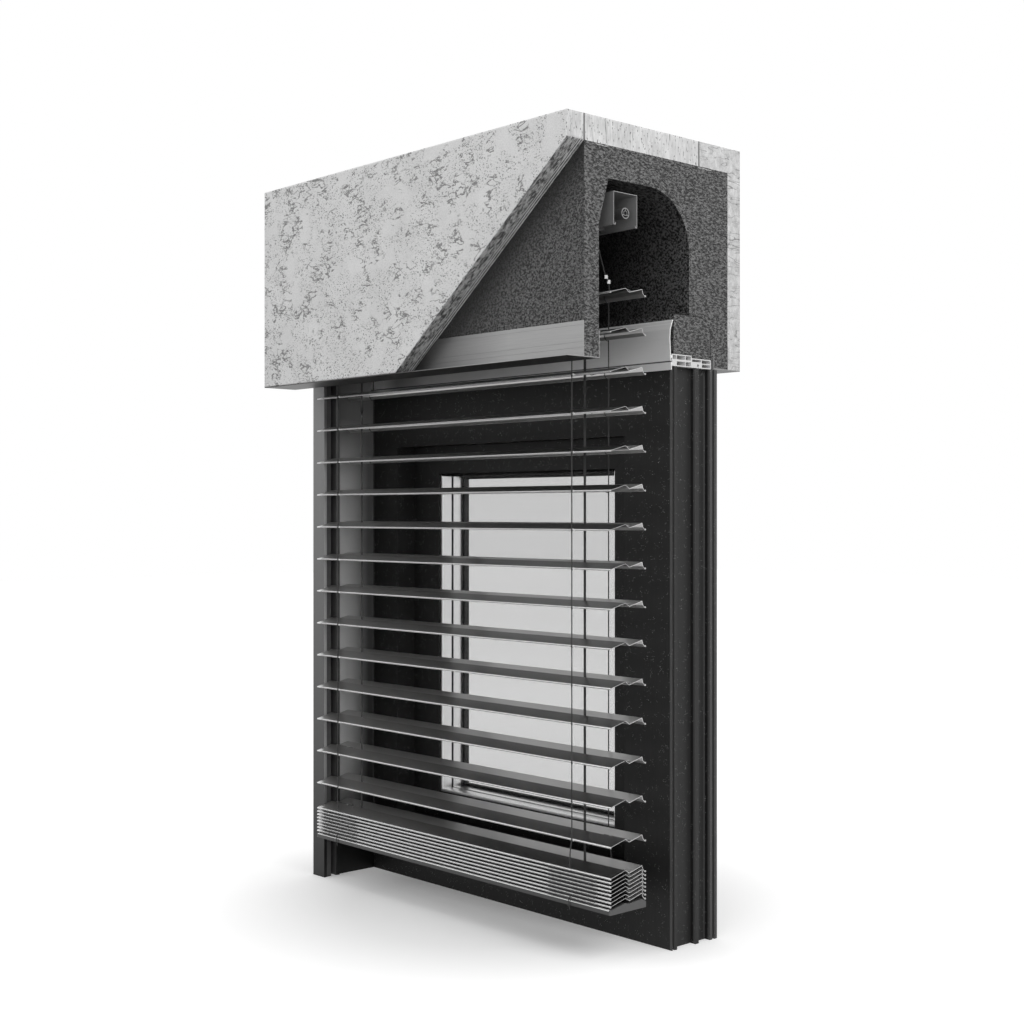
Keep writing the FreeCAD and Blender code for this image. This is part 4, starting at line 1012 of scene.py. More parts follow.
def cut_across(shape, wanted, axis, step):
    """Cut the wanted faces into even strips across one axis."""
    direction = Vector((0.0, 0.0, 0.0))
    direction[axis] = 1.0
    faces = {face for face in shape.faces if wanted(face)}
    places = [vertex.co[axis] for face in faces for vertex in face.verts]
    if not places:
        return
    low = min(places)
    high = max(places)
    count = max(1, round((high - low) / step))
    for index in range(1, count):
        here = low + (high - low) * index / count
        edges = {edge for face in faces for edge in face.edges}
        points = {vertex for edge in edges for vertex in edge.verts}
        cut = bmesh.ops.bisect_plane(shape, geom=list(faces) + list(edges) + list(points),
                                     dist=CUT_TOLERANCE, plane_co=direction * here, plane_no=direction)
        fresh = set()
        for edge in cut["geom_cut"]:
            if isinstance(edge, bmesh.types.BMEdge):
                fresh.update(edge.link_faces)
        faces = {face for face in faces | fresh if face.is_valid and wanted(face)
                 and max(vertex.co[axis] for vertex in face.verts) > here + JOIN_DISTANCE}


def divide(shape, tests, axes, step):
    """Cut the faces that pass each test into a grid, across one axis after the other."""
    for wanted in tests:
        for axis in axes:
            cut_across(shape, wanted, axis, step)


def sink(shape, groups):
    """Sink the points of groups of faces; a point on an edge between two groups sinks little."""
    uses = {}
    moves = []
    for wanted, direction, depth_at in groups:
        points = {vertex for face in shape.faces if wanted(face) for vertex in face.verts}
        for vertex in points:
            uses[vertex] = uses.get(vertex, 0) + 1
            moves.append((vertex, Vector(direction) * depth_at(vertex.co)))
    for vertex, move in moves:
        at_border = uses[vertex] > 1
        at_border = at_border or any(edge.calc_face_angle(0.0) > BORDER_ANGLE for edge in vertex.link_edges)
        vertex.co -= move * (BORDER_SHARE if at_border else 1.0)


def facing(direction, test=None):
    """A test for faces that look in one direction, and whose middle passes a test of its own."""
    aim = Vector(direction).normalized()

    def matches(face):
        if face.normal.dot(aim) < FACING_LIMIT:
            return False
        return test is None or test(face.calc_center_median())

    return matches


def bumps(spot, scale, shift=(0.0, 0.0, 0.0)):
    """Smooth noise between -1 and 1 at a point; a higher scale makes it finer."""
    return noise.noise(spot * scale + Vector(shift))


def plaster_relief(spot):
    """How deep the plaster is sunk at a point: shallow pits and slow waves."""
    pit = max(0.0, bumps(spot, 150.0, (1.0, 9.0, 4.0)) - 0.18) * 1.6
    wave = 0.5 + 0.5 * bumps(spot, 20.0)
    return sizes().plaster_depth * min(1.0, 0.8 * pit + 0.25 * wave)


def sawn_relief(spot):
    """How deep a sawn plaster end is sunk at a point."""
    grain = noise.noise(Vector((spot.x * 60.0, spot.y * 260.0, spot.z * 60.0)))
    hole = max(0.0, bumps(spot, 120.0) - 0.25) * 2.0
    return sizes().plaster_depth * max(0.0, min(1.0, 0.2 + 0.2 * grain + 0.6 * hole))


def foam_relief(spot):
    """How deep the foam is sunk between its beads at a point."""
    beads = bumps(spot, 150.0) * 0.6 + bumps(spot, 300.0, (3.0, 1.0, 8.0)) * 0.4
    return sizes().insulation_depth * max(0.0, min(1.0, 0.5 - 0.9 * beads))


def paint_faces(shape, rules):
    """Give each face the first material whose test it passes; the last one is for the rest."""
    for face in shape.faces:
        face.material_index = len(rules)
        for index, rule in enumerate(rules):
            if rule(face):
                face.material_index = index
                break


def dress_node(name, material, edge_round=0.0):
    """Give a solid its finish, and round its edges a little where asked."""
    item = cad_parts[name]
    item.data.materials.clear()
    item.data.materials.append(material)
    for polygon in item.data.polygons:
        polygon.material_index = 0
    if edge_round > 0:
        weld = item.modifiers.new("join", "WELD")
        weld.merge_threshold = JOIN_DISTANCE
        bevel = item.modifiers.new("round", "BEVEL")
        bevel.width = edge_round
        bevel.segments = 2
        bevel.limit_method = "ANGLE"
        bevel.angle_limit = SHARP_ANGLE
        bevel.harden_normals = False


def ladder_places():
    """The X value of each ladder, right one first."""
    low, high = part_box("front_ladder_cords")
    radius = sizes().cord_radius
    return [high.x - radius, low.x + radius]


def tape_places():
    """The X value of each lift tape, right one first."""
    low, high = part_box("lift_tapes")
    half = sizes().tape_width / 2
    return [high.x - half, low.x + half]


def front_edge(node):
    """The depth and the height of a slat's front edge."""
    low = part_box(node)[0]
    return low.y - COAT_FRONT, low.z + EDGE_OVER_LOW


def slat_heights():
    """The height of each hanging slat's front edge, top one first."""
    return [front_edge(node)[1] for node in SLAT_BODIES]


def stacked_edges():
    """The depth and height of each stacked slat's front edge, top one first."""
    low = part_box("stacked_slats")[0]
    bottom = low.z + EDGE_OVER_LOW
    depth = low.y - COAT_FRONT
    return [(depth, bottom + (STACKED_SLATS - 1 - index) * STACK_PITCH) for index in range(STACKED_SLATS)]


def add_rung(shape, x, front, height):
    """Add the thin cord that carries a slat, close under its folded sheet."""
    radius = sizes().rung_radius
    line = []
    for depth, rise in SLAT_UNDERSIDE:
        line.append(Vector((x, COAT_FRONT + front + depth, height + rise - radius * 0.4)))
    add_tube(shape, line, radius, THIN_SIDES)


def add_eyelet(shape, x, front, height):
    """Add the small wire loop beside the front cord at a slat's edge."""
    centre = Vector((x, COAT_FRONT + front, height)) + Vector(EYELET_SHIFT)
    radius = sizes().eyelet_radius
    ring = []
    for step in range(EYELET_STEPS):
        turn = 2 * math.pi * step / EYELET_STEPS
        ring.append(centre + Vector((math.cos(turn) * radius, 0.0, math.sin(turn) * radius)))
    add_tube(shape, ring, sizes().eyelet_wire, THIN_SIDES, closed=True)


# Operators


class PlasterCoat(bpy.types.Operator):
    """Make the thick plaster coat with its pitted front, sawn ends and slanting cut"""

    bl_idname = "blind.plaster_coat"
    bl_label = "Plaster coat"

    def execute(self, context):
        step = sizes().plaster_step
        front_finish = plaster_front_finish()
        end_finish = plaster_end_finish()
        rear_finish = plaster_rear_end_finish()
        self.make_front(step, front_finish, end_finish)
        self.make_rest("render_top", "coat_top", step, [end_finish, front_finish])
        self.make_rest("render_rear", "coat_rear", step, [rear_finish, front_finish])
        return {"FINISHED"}

    def make_front(self, step, front_finish, end_finish):
        """The front coat, cut away along a slant."""
        shape = whole_copy("render_front")
        slanting = [face for face in shape.faces if face.normal.x > 0.3 and face.normal.z < -0.3]
        outward_of_cut = slanting[0].normal.copy()
        slope = math.degrees(math.atan2(outward_of_cut.x, -outward_of_cut.z))
        front = facing(FORWARD)
        cut = facing(outward_of_cut)
        right = facing(RIGHTWARD)
        left = facing(LEFTWARD)
        top = facing(UPWARD)
        divide(shape, [front], (X, Z), step)
        divide(shape, [cut], (Y, X), step)
        divide(shape, [right, left], (Y, Z), step * FRONT_END_STEP)
        divide(shape, [top], (Y, X), step * FRONT_END_STEP)
        paint_faces(shape, [front, cut, right, left, facing(DOWNWARD)])
        sink(shape, [(front, FORWARD, plaster_relief), (cut, outward_of_cut, sawn_relief),
                     (right, RIGHTWARD, sawn_relief), (left, LEFTWARD, sawn_relief),
                     (top, UPWARD, plaster_relief)])
        # Painted shade: the coat's downward faces get a near-black dull copy of the plaster
        shaded = Paint("plaster_underside_painted_shade", darker(colours().plaster, 0.03), 1.0, specular=0.0).material
        finishes = [front_finish, plaster_cut_finish(slope), end_finish, end_finish, shaded, front_finish]
        item = piece_from(shape, "coat_front", ROOT, finishes, COAT_SMOOTH)
        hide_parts("render_front")

    def make_rest(self, node, name, step, finishes):
        """The coat over the box and behind it."""
        shape = whole_copy(node)
        right = facing(RIGHTWARD)
        left = facing(LEFTWARD)
        top = facing(UPWARD, lambda centre: centre.z > SAMPLE_TOP - OUTER_BAND)
        rear = facing(REARWARD, lambda centre: centre.y > COAT_REAR - OUTER_BAND)
        divide(shape, [right, left], (Y, Z), step * REST_END_STEP)
        divide(shape, [top], (X, Y), step * HIDDEN_STEP)
        divide(shape, [rear], (X, Z), step * HIDDEN_STEP)
        paint_faces(shape, [lambda face: abs(face.normal.x) > 0.9])
        sink(shape, [(right, RIGHTWARD, sawn_relief), (left, LEFTWARD, sawn_relief),
                     (top, UPWARD, plaster_relief), (rear, REARWARD, plaster_relief)])
        item = piece_from(shape, name, ROOT, finishes, COAT_SMOOTH)
        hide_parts(node)


class Insulation(bpy.types.Operator):
    """Make the moulded foam box and the loose strip over the window"""

    bl_idname = "blind.insulation"
    bl_label = "Insulation"

    def execute(self, context):
        base = tuple(colours().insulation)
        finishes = [
            foam_finish("foam", base, 1.0),
            # The front and the hollow's inside are darker copies of the foam: painted shade
            foam_finish("foam_front_painted_shade", darker(base, 0.74), 1.0, shade_left=True),
            foam_finish("foam_inside_painted_shade", darker(base, 0.04), 0.5, deep=True),
            plastic_finish("joint_shadow", darker(base, 0.08), 0.9),
        ]
        self.make_foam("insulation_box", "foam_box", finishes)
        self.make_foam("rear_insulation_insert", "foam_strip", finishes)
        return {"FINISHED"}

    def make_foam(self, node, name, finishes):
        """One foam part with beaded outer faces; the loose strip has a dark joint round its ends."""
        step = sizes().insulation_step
        shape = whole_copy(node)
        right = facing(RIGHTWARD)
        left = facing(LEFTWARD)
        front_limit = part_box("insulation_box")[0].y + OUTER_BAND / 2
        front = facing(FORWARD, lambda centre: centre.y < front_limit)
        divide(shape, [right], (Y, Z), step)
        divide(shape, [left], (Y, Z), step * FOAM_LEFT_STEP)
        divide(shape, [front], (X, Z), step)
        paint_faces(shape, [lambda face: right(face) or left(face), front])
        if name == "foam_strip":
            for wanted in (right, left):
                faces = [face for face in shape.faces if wanted(face)]
                rim = bmesh.ops.inset_region(shape, faces=faces, thickness=JOINT_WIDTH,
                                             use_even_offset=True)
                for face in rim["faces"]:
                    face.material_index = len(finishes) - 1
        sink(shape, [(right, RIGHTWARD, foam_relief), (left, LEFTWARD, foam_relief),
                     (front, FORWARD, foam_relief)])
        item = piece_from(shape, name, ROOT, finishes, FOAM_SMOOTH)
        for polygon in item.data.polygons:
            polygon.use_smooth = finishes[polygon.material_index].name != "foam_inside_painted_shade"
        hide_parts(node)


class BoxProfiles(bpy.types.Operator):
    """Finish the box's metal and plastic profiles, and make their seals and anchor strips"""

    bl_idname = "blind.box_profiles"
    bl_label = "Box profiles"

    def execute(self, context):
        profile = base_profile_finish()
        adapter = plastic_finish("adapter_plastic", colours().adapter, 0.45)
        dress_node("front_base_profile", profile)
        dress_node("rear_base_profile", profile)
        dress_node("inner_cover_profile", cover_finish())
        dress_node("frame_adapter_profile", adapter)
        self.make_anchor_strips(adapter)
        self.make_seals(rubber_finish())
        return {"FINISHED"}

    def make_anchor_strips(self, finish):
        """Light hooked strips in the foam's top edge, seen at the ends."""
        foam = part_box("insulation_box")
        top = foam[1].z
        shape = bmesh.new()
        for start, width in ANCHOR_STRIPS:
            end = start + width
            line = [(start, top - 0.0004), (start + ANCHOR_HOOK, top - 0.0022),
                    (start + width * 0.35, top - 0.0016), (start + width * 0.65, top - 0.0026),
                    (end - ANCHOR_HOOK, top - 0.0020), (end, top - 0.0004)]
            outline = line + [(depth, height - ANCHOR_THICKNESS) for depth, height in line[::-1]]
            add_prism(shape, outline, RIGHT_END - ANCHOR_LENGTH, RIGHT_END)
            add_prism(shape, outline, LEFT_END, LEFT_END + ANCHOR_LENGTH)
        outward(shape)
        piece_from(shape, "anchor_strips", ROOT, [finish])

    def make_seals(self, finish):
        """Black seal between adapter and foam, and under the cover strip."""
        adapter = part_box("frame_adapter_profile")
        rear = adapter[1].y - COAT_FRONT
        low = adapter[0].z
        shape = bmesh.new()
        outline = [(rear + 0.0004, low + 0.0010), (rear + 0.0070, low + 0.0010),
                   (rear + 0.0070, low + 0.0150), (rear + 0.0048, low + 0.0180),
                   (rear + 0.0048, low + 0.0260), (rear + 0.0034, low + 0.0260),
                   (rear + 0.0030, low + 0.0150), (rear + 0.0004, low + 0.0130)]
        add_prism(shape, outline, LEFT_END + SEAL_INSET, RIGHT_END - SEAL_INSET)
        outward(shape)
        piece_from(shape, "adapter_seal", ROOT, [finish])


class HeadrailSet(bpy.types.Operator):
    """Finish the headrail and everything that works inside it"""

    bl_idname = "blind.headrail_set"
    bl_label = "Headrail and drive"

    def execute(self, context):
        paints = colours()
        dark = plastic_finish("button_dark", paints.liner, 0.35)
        finishes = {
            "headrail": cut_metal_finish("headrail_coating", paints.headrail, "headrail", 0.45, 0.1),
            "headrail_hangers": drawn_metal_finish("hanger_metal", paints.profile, 0.40, 0.7),
            "bearing_blocks": dark,
            "tilt_drums": plastic_finish("bearing_plastic", paints.plastic, 0.5),
            "drive_shaft": cut_metal_finish("shaft_metal", paints.shaft, "drive_shaft", 0.35, 0.5),
            "motor": drawn_metal_finish("motor_housing", paints.motor, 0.35, 0.8),
            "stop_button": plastic_finish("stop_plastic", darker(paints.plastic, 0.12), 0.3),
            "upper_limit_button": dark,
            "lower_limit_button": dark,
        }
        for node, finish in finishes.items():
            dress_node(node, finish)
        return {"FINISHED"}


class SlatSet(bpy.types.Operator):
    """Finish the slats and pins, and make the rungs and eyelets that hold each slat"""

    bl_idname = "blind.slat_set"
    bl_label = "Slats and rungs"

    def execute(self, context):
        low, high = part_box("slat_01")
        finish = slat_finish(low, high)
        pins = plastic_finish("pin_plastic", colours().pin, 0.4)
        cord = cord_finish("rung_cord", colours().cord, 260.0)
        wire = drawn_metal_finish("eyelet_wire", colours().slat_edge, 0.3, 0.9)
        for node in SLAT_BODIES + ["stacked_slats"]:
            dress_node(node, finish)
        for node in PIN_NODES + ["stacked_slat_pins"]:
            dress_node(node, pins)
        for node in SLAT_BODIES:
            front, height = front_edge(node)
            rungs = bmesh.new()
            eyelets = bmesh.new()
            for x in ladder_places():
                add_rung(rungs, x, front, height)
                add_eyelet(eyelets, x, front, height)
            cord_piece(rungs, node + "_rungs", node, cord)
            piece_from(eyelets, node + "_eyelets", node, [wire], CORD_SMOOTH)
        return {"FINISHED"}


class LadderCords(bpy.types.Operator):
    """Make the upright ladder cords with their leads, knots, clips and slack parts"""

    bl_idname = "blind.ladder_cords"
    bl_label = "Ladder cords"

    def execute(self, context):
        cord = cord_finish("ladder_cord", colours().cord, 200.0)
        self.make_pair("front_ladder_cords", "front_ladders", True, cord)
        self.make_slack("front_ladder_cords", cord)
        self.make_pair("rear_ladder_cords", "rear_ladders", False, cord)
        clip = plastic_finish("clip_plastic", lighter(colours().plastic, 0.9), 0.5)
        self.make_clips("rear_ladders", clip)
        return {"FINISHED"}

    def cord_depth(self, node, front):
        """The Y value of the cords before or behind the slats."""
        low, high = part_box(node)
        radius = sizes().cord_radius
        return low.y + radius if front else high.y - radius

    def make_pair(self, node, body, front, finish):
        """The two cords on one side of the slats: their uprights with knots, and their leads."""
        radius = sizes().cord_radius
        rows = slat_heights()
        top = rows[0] + CORD_OVER_SLAT
        depth = self.cord_depth(node, front)
        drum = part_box("tilt_drums")
        upright = bmesh.new()
        leads = bmesh.new()
        for x in ladder_places():
            add_tube(upright, self.upright_line(x, depth, rows, top, front), radius)
            for height in rows:
                self.add_knot(upright, Vector((x, depth, height - KNOT_DROP)), radius)
            path = self.lead_path(Vector((x, depth, top)), drum, front, radius)
            add_tube(leads, smooth_line(path, LEAD_STEPS), radius)
        item = cord_piece(upright, node + "_braided", body, finish)
        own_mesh(item)
        lead_item = cord_piece(leads, node + "_leads", body, finish)
        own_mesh(lead_item)
        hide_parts(node)

    def upright_line(self, x, depth, rows, top, front):
        """The points of an upright cord, down to its slack part or to its end behind the stack."""
        line = [Vector((x, depth, top))]
        for above, below in zip(rows, rows[1:]):
            for share in SWAY_SHARES:
                sway = math.sin(share * math.pi) * CORD_SWAY
                line.append(Vector((x + sway, depth, above + (below - above) * share)))
        if front:
            return line + self.foot_line(x, depth, rows[-1], front, (0.0, SLACK_FROM))
        line += self.foot_line(x, depth, rows[-1], front, (0.0, *SLACK_SHARES))
        return line + [line[-1] - Vector((0.0, 0.0, SLAT_EDGE_DROP))]

    def foot_line(self, x, depth, last, front, shares):
        """The points of a cord between the last slat, at share 0, and the stack, at share 1."""
        side = -1.0 if front else 1.0
        slant = FRONT_SLANT if front else REAR_SLANT
        if x < 0:
            slant = LEFT_SLANT
        end = stacked_edges()[0][1] + (FRONT_STACK_GAP if front else REAR_STACK_GAP)
        line = []
        for share in shares:
            bulge = math.sin(share * math.pi) * SLACK_BULGE
            line.append(Vector((x - slant * share - bulge * 0.5, depth + side * bulge * 0.4,
                                last + (end - last) * share)))
        return line

    def make_slack(self, node, finish):
        """The front cords' lowest part, which sinks onto the stack while the slats tilt."""
        depth = self.cord_depth(node, True)
        shape = bmesh.new()
        for x in ladder_places():
            line = self.foot_line(x, depth, slat_heights()[-1], True, (SLACK_FROM, *SLACK_SHARES))
            add_tube(shape, line, sizes().cord_radius)
        item = cord_piece(shape, "front_cord_slack", PACK, finish)
        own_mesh(item)

    def add_knot(self, shape, centre, radius):
        """Add the small thickening where a rung leaves its upright."""
        line = [centre + Vector((0.0, 0.0, shift)) for shift in KNOT_SHIFTS]
        add_tube(shape, line, radius * KNOT_SWELL)

    def lead_path(self, bend, drum, front, radius):
        """The points of a cord from its bend at the top slat up to its drum."""
        if front:
            reach = Vector((bend.x, drum[0].y - radius, FRONT_LEAD_TOP))
            return [bend, bend.lerp(reach, 0.4), bend.lerp(reach, 0.8), reach]
        turns = [Vector((bend.x, COAT_FRONT + across, height)) for across, height in LEAD_TURNS]
        return [bend] + turns + [Vector((bend.x, drum[1].y + radius, REAR_LEAD_TOP))]

    def make_clips(self, body, finish):
        """Two small white clips on the right-hand rear lead."""
        shape = bmesh.new()
        x = ladder_places()[0]
        side = sizes().clip_side / 2
        turned = Matrix.Rotation(sizes().camera_turn, 3, "Z")
        tall = side * CLIP_HEIGHT_SHARE
        for across, height in CLIP_PLACES:
            corners = add_box(shape, (-side, -side, -tall), (side, side, tall))
            for corner in corners:
                corner.co = turned @ corner.co + Vector((x, COAT_FRONT + across, height))
        outward(shape)
        clips = piece_from(shape, "lead_clips", body, [finish], CORD_SMOOTH)
        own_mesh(clips)


class LiftTapes(bpy.types.Operator):
    """Make the flat lift tapes, each with a half turn between two slats"""

    bl_idname = "blind.lift_tapes"
    bl_label = "Lift tapes"

    def execute(self, context):
        finish = cord_finish("lift_tape", colours().tape, 420.0)
        rows = slat_heights()
        shape = bmesh.new()
        for x in tape_places():
            self.add_tape(shape, x, rows[2] - TWIST_BELOW, rows[3] + TWIST_ABOVE)
        outward(shape)
        item = piece_from(shape, "lift_tapes_woven", ROOT, [finish], CORD_SMOOTH)
        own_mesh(item)
        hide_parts("lift_tapes")
        return {"FINISHED"}

    def add_tape(self, shape, x, twist_from, twist_to):
        """Add one tape that makes half a turn between two heights."""
        low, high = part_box("lift_tapes")
        half = sizes().tape_width / 2
        thin = sizes().tape_thickness / 2
        rings = []
        for index in range(TAPE_STEPS + 1):
            height = low.z + (high.z - low.z) * index / TAPE_STEPS
            share = min(1.0, max(0.0, (twist_from - height) / (twist_from - twist_to)))
            turn = math.pi * (3 * share ** 2 - 2 * share ** 3)
            across = Vector((math.cos(turn), math.sin(turn), 0.0))
            through = Vector((-math.sin(turn), math.cos(turn), 0.0))
            centre = Vector((x, (low.y + high.y) / 2, height))
            rings.append([shape.verts.new(centre + across * wide * half + through * deep * thin)
                          for wide, deep in TAPE_OUTLINE])
        for below, above in zip(rings, rings[1:]):
            bridge(shape, below, above)
        cap(shape, rings)


class StackCords(bpy.types.Operator):
    """Make the slack ladder loops, rungs and cord ends of the stacked slats"""

    bl_idname = "blind.stack_cords"
    bl_label = "Cords at the stack"

    def execute(self, context):
        cord = cord_finish("slack_cord", colours().loop, 240.0)
        rows = stacked_edges()
        rungs = bmesh.new()
        for x, (side, shift, reach) in zip(ladder_places(), LOOP_STACKS):
            shape = bmesh.new()
            for index, (front, height) in enumerate(rows):
                centre = x + shift + LOOP_SWAY * math.sin(index * 2.3)
                wide = reach + LOOP_REACH_CHANGE * math.cos(index * 1.7)
                self.add_loop(shape, centre, wide, front, height)
                add_rung(rungs, x, front, height)
            cord_piece(shape, "slack_loops_" + side, PACK, cord)
            shape = bmesh.new()
            self.add_tail(shape, x, rows, TAIL_SLANTS[side])
            cord_piece(shape, "cord_tail_" + side, PACK, cord)
        cord_piece(rungs, "stack_rungs", PACK, cord)
        return {"FINISHED"}

    def add_loop(self, shape, x, reach, front, height):
        """Add one folded loop that lies along the front of the gap under a slat."""
        edge = COAT_FRONT + front
        points = [Vector((x + reach * share, edge - before, height - under))
                  for share, before, under in LOOP_LINE]
        add_tube(shape, points, sizes().loop_radius, LOOP_SIDES, closed=True)

    def add_tail(self, shape, x, rows, slant):
        """Add the cord end that comes forward under the stack and hangs below the rail."""
        rail_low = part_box("bottom_rail")[0].z
        edge = COAT_FRONT + rows[0][0]
        points = []
        for base, line in ((rows[-1][1], TAIL_AT_SLAT), (rail_low, TAIL_AT_RAIL)):
            for share, behind, rise in line:
                points.append(Vector((x + slant * share, edge + behind, base + rise)))
        add_tube(shape, smooth_line(points, TAIL_STEPS), sizes().cord_radius * TAIL_SHARE)


class GuideRailSet(bpy.types.Operator):
    """Finish the guide rail with its liner, and the bottom rail with its caps"""

    bl_idname = "blind.guide_rail_set"
    bl_label = "Guide and bottom rail"

    def execute(self, context):
        paints = colours()
        dress_node("guide_rail", guide_finish(), sizes().edge_round)
        dress_node("guide_rail_liner", plastic_finish("liner_plastic", paints.liner, 0.5))
        dress_node("bottom_rail", bottom_rail_finish())
        dress_node("bottom_rail_end_caps", plastic_finish("cap_plastic", lighter(paints.rail, 0.03), 0.50))
        return {"FINISHED"}


class WindowSet(bpy.types.Operator):
    """Finish the window frame and make its panes, spacers and gaskets"""

    bl_idname = "blind.window_set"
    bl_label = "Window"

    def execute(self, context):
        frame_coat = window_finish()
        dress_node("window_frame", frame_coat, sizes().edge_round)
        dress_node("glazing_frame", frame_coat, sizes().edge_round)
        low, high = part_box("glazing_unit")
        self.make_panes(low, high)
        self.make_spacers(low, high)
        self.make_gaskets(low, high)
        return {"FINISHED"}

    def pane_step(self, low, high):
        """The distance from one pane's front to the next one's."""
        return (high.y - low.y - sizes().pane_thickness) / 2

    def make_panes(self, low, high):
        """Three panes."""
        shape = bmesh.new()
        for index in range(3):
            start = low.y + index * self.pane_step(low, high)
            add_box(shape, (low.x, start, low.z), (high.x, start + sizes().pane_thickness, high.z))
        outward(shape)
        soften(shape, PANE_ROUND, 1)
        panes = piece_from(shape, "glass_panes", ROOT, [glass_finish()])
        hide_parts("glazing_unit")

    def make_spacers(self, low, high):
        """The spacer frames between the panes; their top bars get a dark dull material as painted shade."""
        thick = sizes().pane_thickness
        step = self.pane_step(low, high)
        outer = FRONT_GLASS_COVER - SPACER_EDGE
        inner = FRONT_GLASS_COVER + sizes().spacer_sight
        shape = bmesh.new()
        for index in range(2):
            front = low.y + index * (step + thick) + SPACER_GAP
            rear = low.y + (index + 1) * step + index * thick - SPACER_GAP
            self.add_ring(shape, low, high, outer, inner, front, rear)
        outward(shape)
        soften(shape, SPACER_ROUND)
        shape.normal_update()
        lit_top = high.z - SPACER_SHADE
        paint_faces(shape, [lambda face: abs(face.normal.x) > 0.5 or face.calc_center_median().z < lit_top])
        # Painted shade: a near-black dull material on the top bars
        shaded = Paint("spacer_painted_shade", darker(colours().rubber, 0.4), 0.9, specular=0.05).material
        piece_from(shape, "spacer_frames", ROOT, [spacer_finish(), shaded], CORD_SMOOTH)

    def add_ring(self, shape, low, high, outer, inner, front, rear):
        """Add a rectangular ring that follows the glass edge."""
        rings = []
        for inset in (outer, inner):
            for y in (front, rear):
                rings.append([shape.verts.new(spot) for spot in (
                    (low.x + inset, y, low.z + inset), (high.x - inset, y, low.z + inset),
                    (high.x - inset, y, high.z - inset), (low.x + inset, y, high.z - inset))])
        outer_front, outer_rear, inner_front, inner_rear = rings
        for first, second in ((outer_front, outer_rear), (inner_rear, inner_front),
                              (outer_rear, inner_rear), (inner_front, outer_front)):
            bridge(shape, first, second)

    def make_gaskets(self, low, high):
        """Black gaskets at the glass edge, before and behind it."""
        width = sizes().gasket
        shape = bmesh.new()
        edge = FRONT_GLASS_COVER
        self.add_ring(shape, low, high, edge - width, edge - 0.0004, low.y - 0.0012, low.y - GASKET_GAP)
        edge = REAR_GLASS_COVER
        self.add_ring(shape, low, high, edge - width, edge + 0.0010, high.y + GASKET_GAP, high.y + 0.0016)
        outward(shape)
        soften(shape, GASKET_ROUND)
        piece_from(shape, "window_gaskets", ROOT, [rubber_finish()], CORD_SMOOTH)


def seen_directly(tree):
    """1 for what the camera sees straight, in a gloss or through glass."""
    rays = tree.nodes.new("ShaderNodeLightPath")
    total = rays.outputs["Is Camera Ray"]
    for name in ("Is Glossy Ray", "Is Transmission Ray"):
        inputs = {0: total, 1: rays.outputs[name]}
        total = add_node(tree, "ShaderNodeMath", inputs, operation="ADD", use_clamp=True).outputs[0]
    return total


def glow_share(tree):
    """The floor's own glow: weak beside the sample, which deepens its shadow there with painted shade, and
    stronger far from it.
    """
    source = tree.nodes.new("ShaderNodeTexCoord")
    away = add_node(tree, "ShaderNodeVectorMath", {0: source.outputs["Object"]}, operation="LENGTH")
    rings = []
    for start, end, at_start, at_end in FLOOR_GLOW:
        inputs = {"Value": away.outputs["Value"], "From Min": start, "From Max": end,
                  "To Min": at_start, "To Max": at_end}
        rings.append(add_node(tree, "ShaderNodeMapRange", inputs).outputs["Result"])
    return add_node(tree, "ShaderNodeMath", dict(enumerate(rings)), operation="ADD").outputs[0]


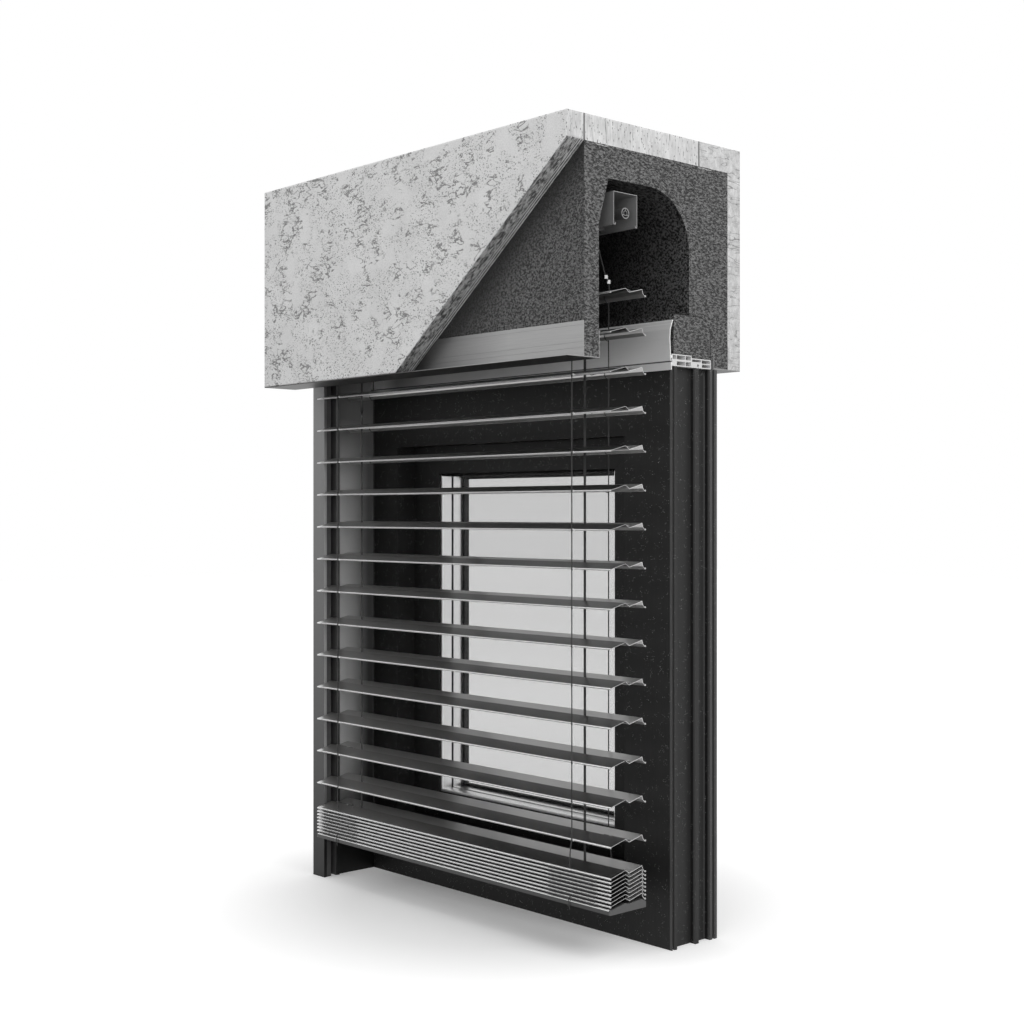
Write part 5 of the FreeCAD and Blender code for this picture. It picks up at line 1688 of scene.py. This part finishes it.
class Stage(bpy.types.Operator):
    """Set up the camera, the lights and the white floor"""

    bl_idname = "blind.stage"
    bl_label = "Stage"

    def execute(self, context):
        self.make_camera(context)
        self.make_world(context)
        self.make_lights(context)
        self.make_floor(context)
        context.scene.view_settings.view_transform = "Standard"
        return {"FINISHED"}

    def make_camera(self, context):
        """A level camera to the right of the sample and in front of it."""
        data = bpy.data.cameras.new("camera")
        data.lens = sizes().lens
        data.sensor_fit = "HORIZONTAL"
        data.sensor_width = 36.0
        data.shift_y = sizes().horizon
        data.clip_end = 60.0
        item = bpy.data.objects.new("camera", data)
        item.location = CAMERA_SPOT
        item.rotation_euler = (math.radians(90.0), 0.0, sizes().camera_turn)
        context.scene.collection.objects.link(item)
        context.scene.camera = item

    def make_world(self, context):
        """An even sky that lights the sample, and plain white for what the camera sees."""
        world = bpy.data.worlds.new("white_room")
        world.use_nodes = True
        context.scene.world = world
        tree = world.node_tree
        tree.nodes.clear()
        sky = {"Color": WHITE, "Strength": SKY_STRENGTH}
        light = add_node(tree, "ShaderNodeBackground", sky)
        backdrop = {"Color": (*colours().backdrop, 1.0), "Strength": 1.0}
        white = add_node(tree, "ShaderNodeBackground", backdrop)
        self.show(tree, light, white, "ShaderNodeOutputWorld")

    def show(self, tree, unseen, seen, output):
        """Use one shader for what is seen directly and another one for the light on other things."""
        inputs = {"Fac": seen_directly(tree), 1: unseen.outputs[0], 2: seen.outputs[0]}
        shown = add_node(tree, "ShaderNodeMixShader", inputs)
        add_node(tree, output, {"Surface": shown.outputs[0]})

    def make_lights(self, context):
        """A large soft lamp from the right, one from the front left and a weak one near the camera."""
        for name, spot, aim, width, power in LAMPS:
            data = bpy.data.lights.new(name, "AREA")
            data.shape = "SQUARE"
            data.size = width
            data.energy = power
            item = bpy.data.objects.new(name, data)
            item.location = spot
            way = Vector(aim) - Vector(spot)
            item.rotation_euler = way.to_track_quat("-Z", "Y").to_euler()
            context.scene.collection.objects.link(item)

    def floor_finish(self):
        """White with a soft shadow where it is seen, partly real and partly painted by a weaker glow near
        the sample, and dull for the light that it throws back.
        """
        material = bpy.data.materials.new("white_floor")
        material.use_nodes = True
        tree = material.node_tree
        tree.nodes.clear()
        dull = add_node(tree, "ShaderNodeBsdfDiffuse", {"Color": FLOOR_BOUNCE})
        lit = add_node(tree, "ShaderNodeBsdfDiffuse", {"Color": FLOOR_SHOWN})
        light = {"Color": WHITE, "Strength": glow_share(tree)}
        glow = add_node(tree, "ShaderNodeEmission", light)
        white = add_node(tree, "ShaderNodeAddShader", {0: lit.outputs[0], 1: glow.outputs[0]})
        self.show(tree, dull, white, "ShaderNodeOutputMaterial")
        return material

    def make_floor(self, context):
        """A wide white floor that keeps the sample's shadow and throws little light back up."""
        reach = FLOOR_REACH
        shape = bmesh.new()
        shape.faces.new([shape.verts.new((x, y, 0.0)) for x, y in
                         ((-reach, -reach), (reach, -reach), (reach, reach), (-reach, reach))])
        mesh = bpy.data.meshes.new("floor")
        shape.to_mesh(mesh)
        shape.free()
        mesh.materials.append(self.floor_finish())
        floor = bpy.data.objects.new("floor", mesh)
        context.scene.collection.objects.link(floor)


PIECES = [PlasterCoat, Insulation, BoxProfiles, HeadrailSet, SlatSet, LadderCords, LiftTapes, StackCords,
          GuideRailSet, WindowSet, Stage]


class BlindPanel(bpy.types.Panel):
    """Lists the steps and the values of the dressed blind"""

    bl_idname = "VIEW3D_PT_blind"
    bl_label = "External venetian blind"
    bl_space_type = "VIEW_3D"
    bl_region_type = "UI"
    bl_category = "Blind"

    def draw(self, context):
        for piece in PIECES:
            self.layout.operator(piece.bl_idname)
        for group in (context.scene.blind_sizes, context.scene.blind_colours):
            for name in group.__annotations__:
                self.layout.prop(group, name)


CLASSES = [BlindSizes, BlindColours] + PIECES + [BlindPanel]


def register():
    """Make the classes and the scene's values known."""
    for item in CLASSES:
        bpy.utils.register_class(item)
    bpy.types.Scene.blind_sizes = PointerProperty(type=BlindSizes)
    bpy.types.Scene.blind_colours = PointerProperty(type=BlindColours)


def unregister():
    """Forget the classes and the scene's values."""
    del bpy.types.Scene.blind_colours
    del bpy.types.Scene.blind_sizes
    for item in reversed(CLASSES):
        bpy.utils.unregister_class(item)


def main():
    """Build every piece in order."""
    register()
    bpy.ops.blind.plaster_coat()
    bpy.ops.blind.insulation()
    bpy.ops.blind.box_profiles()
    bpy.ops.blind.headrail_set()
    bpy.ops.blind.slat_set()
    bpy.ops.blind.ladder_cords()
    bpy.ops.blind.lift_tapes()
    bpy.ops.blind.stack_cords()
    bpy.ops.blind.guide_rail_set()
    bpy.ops.blind.window_set()
    bpy.ops.blind.stage()


if __name__ == "__main__":
    main()
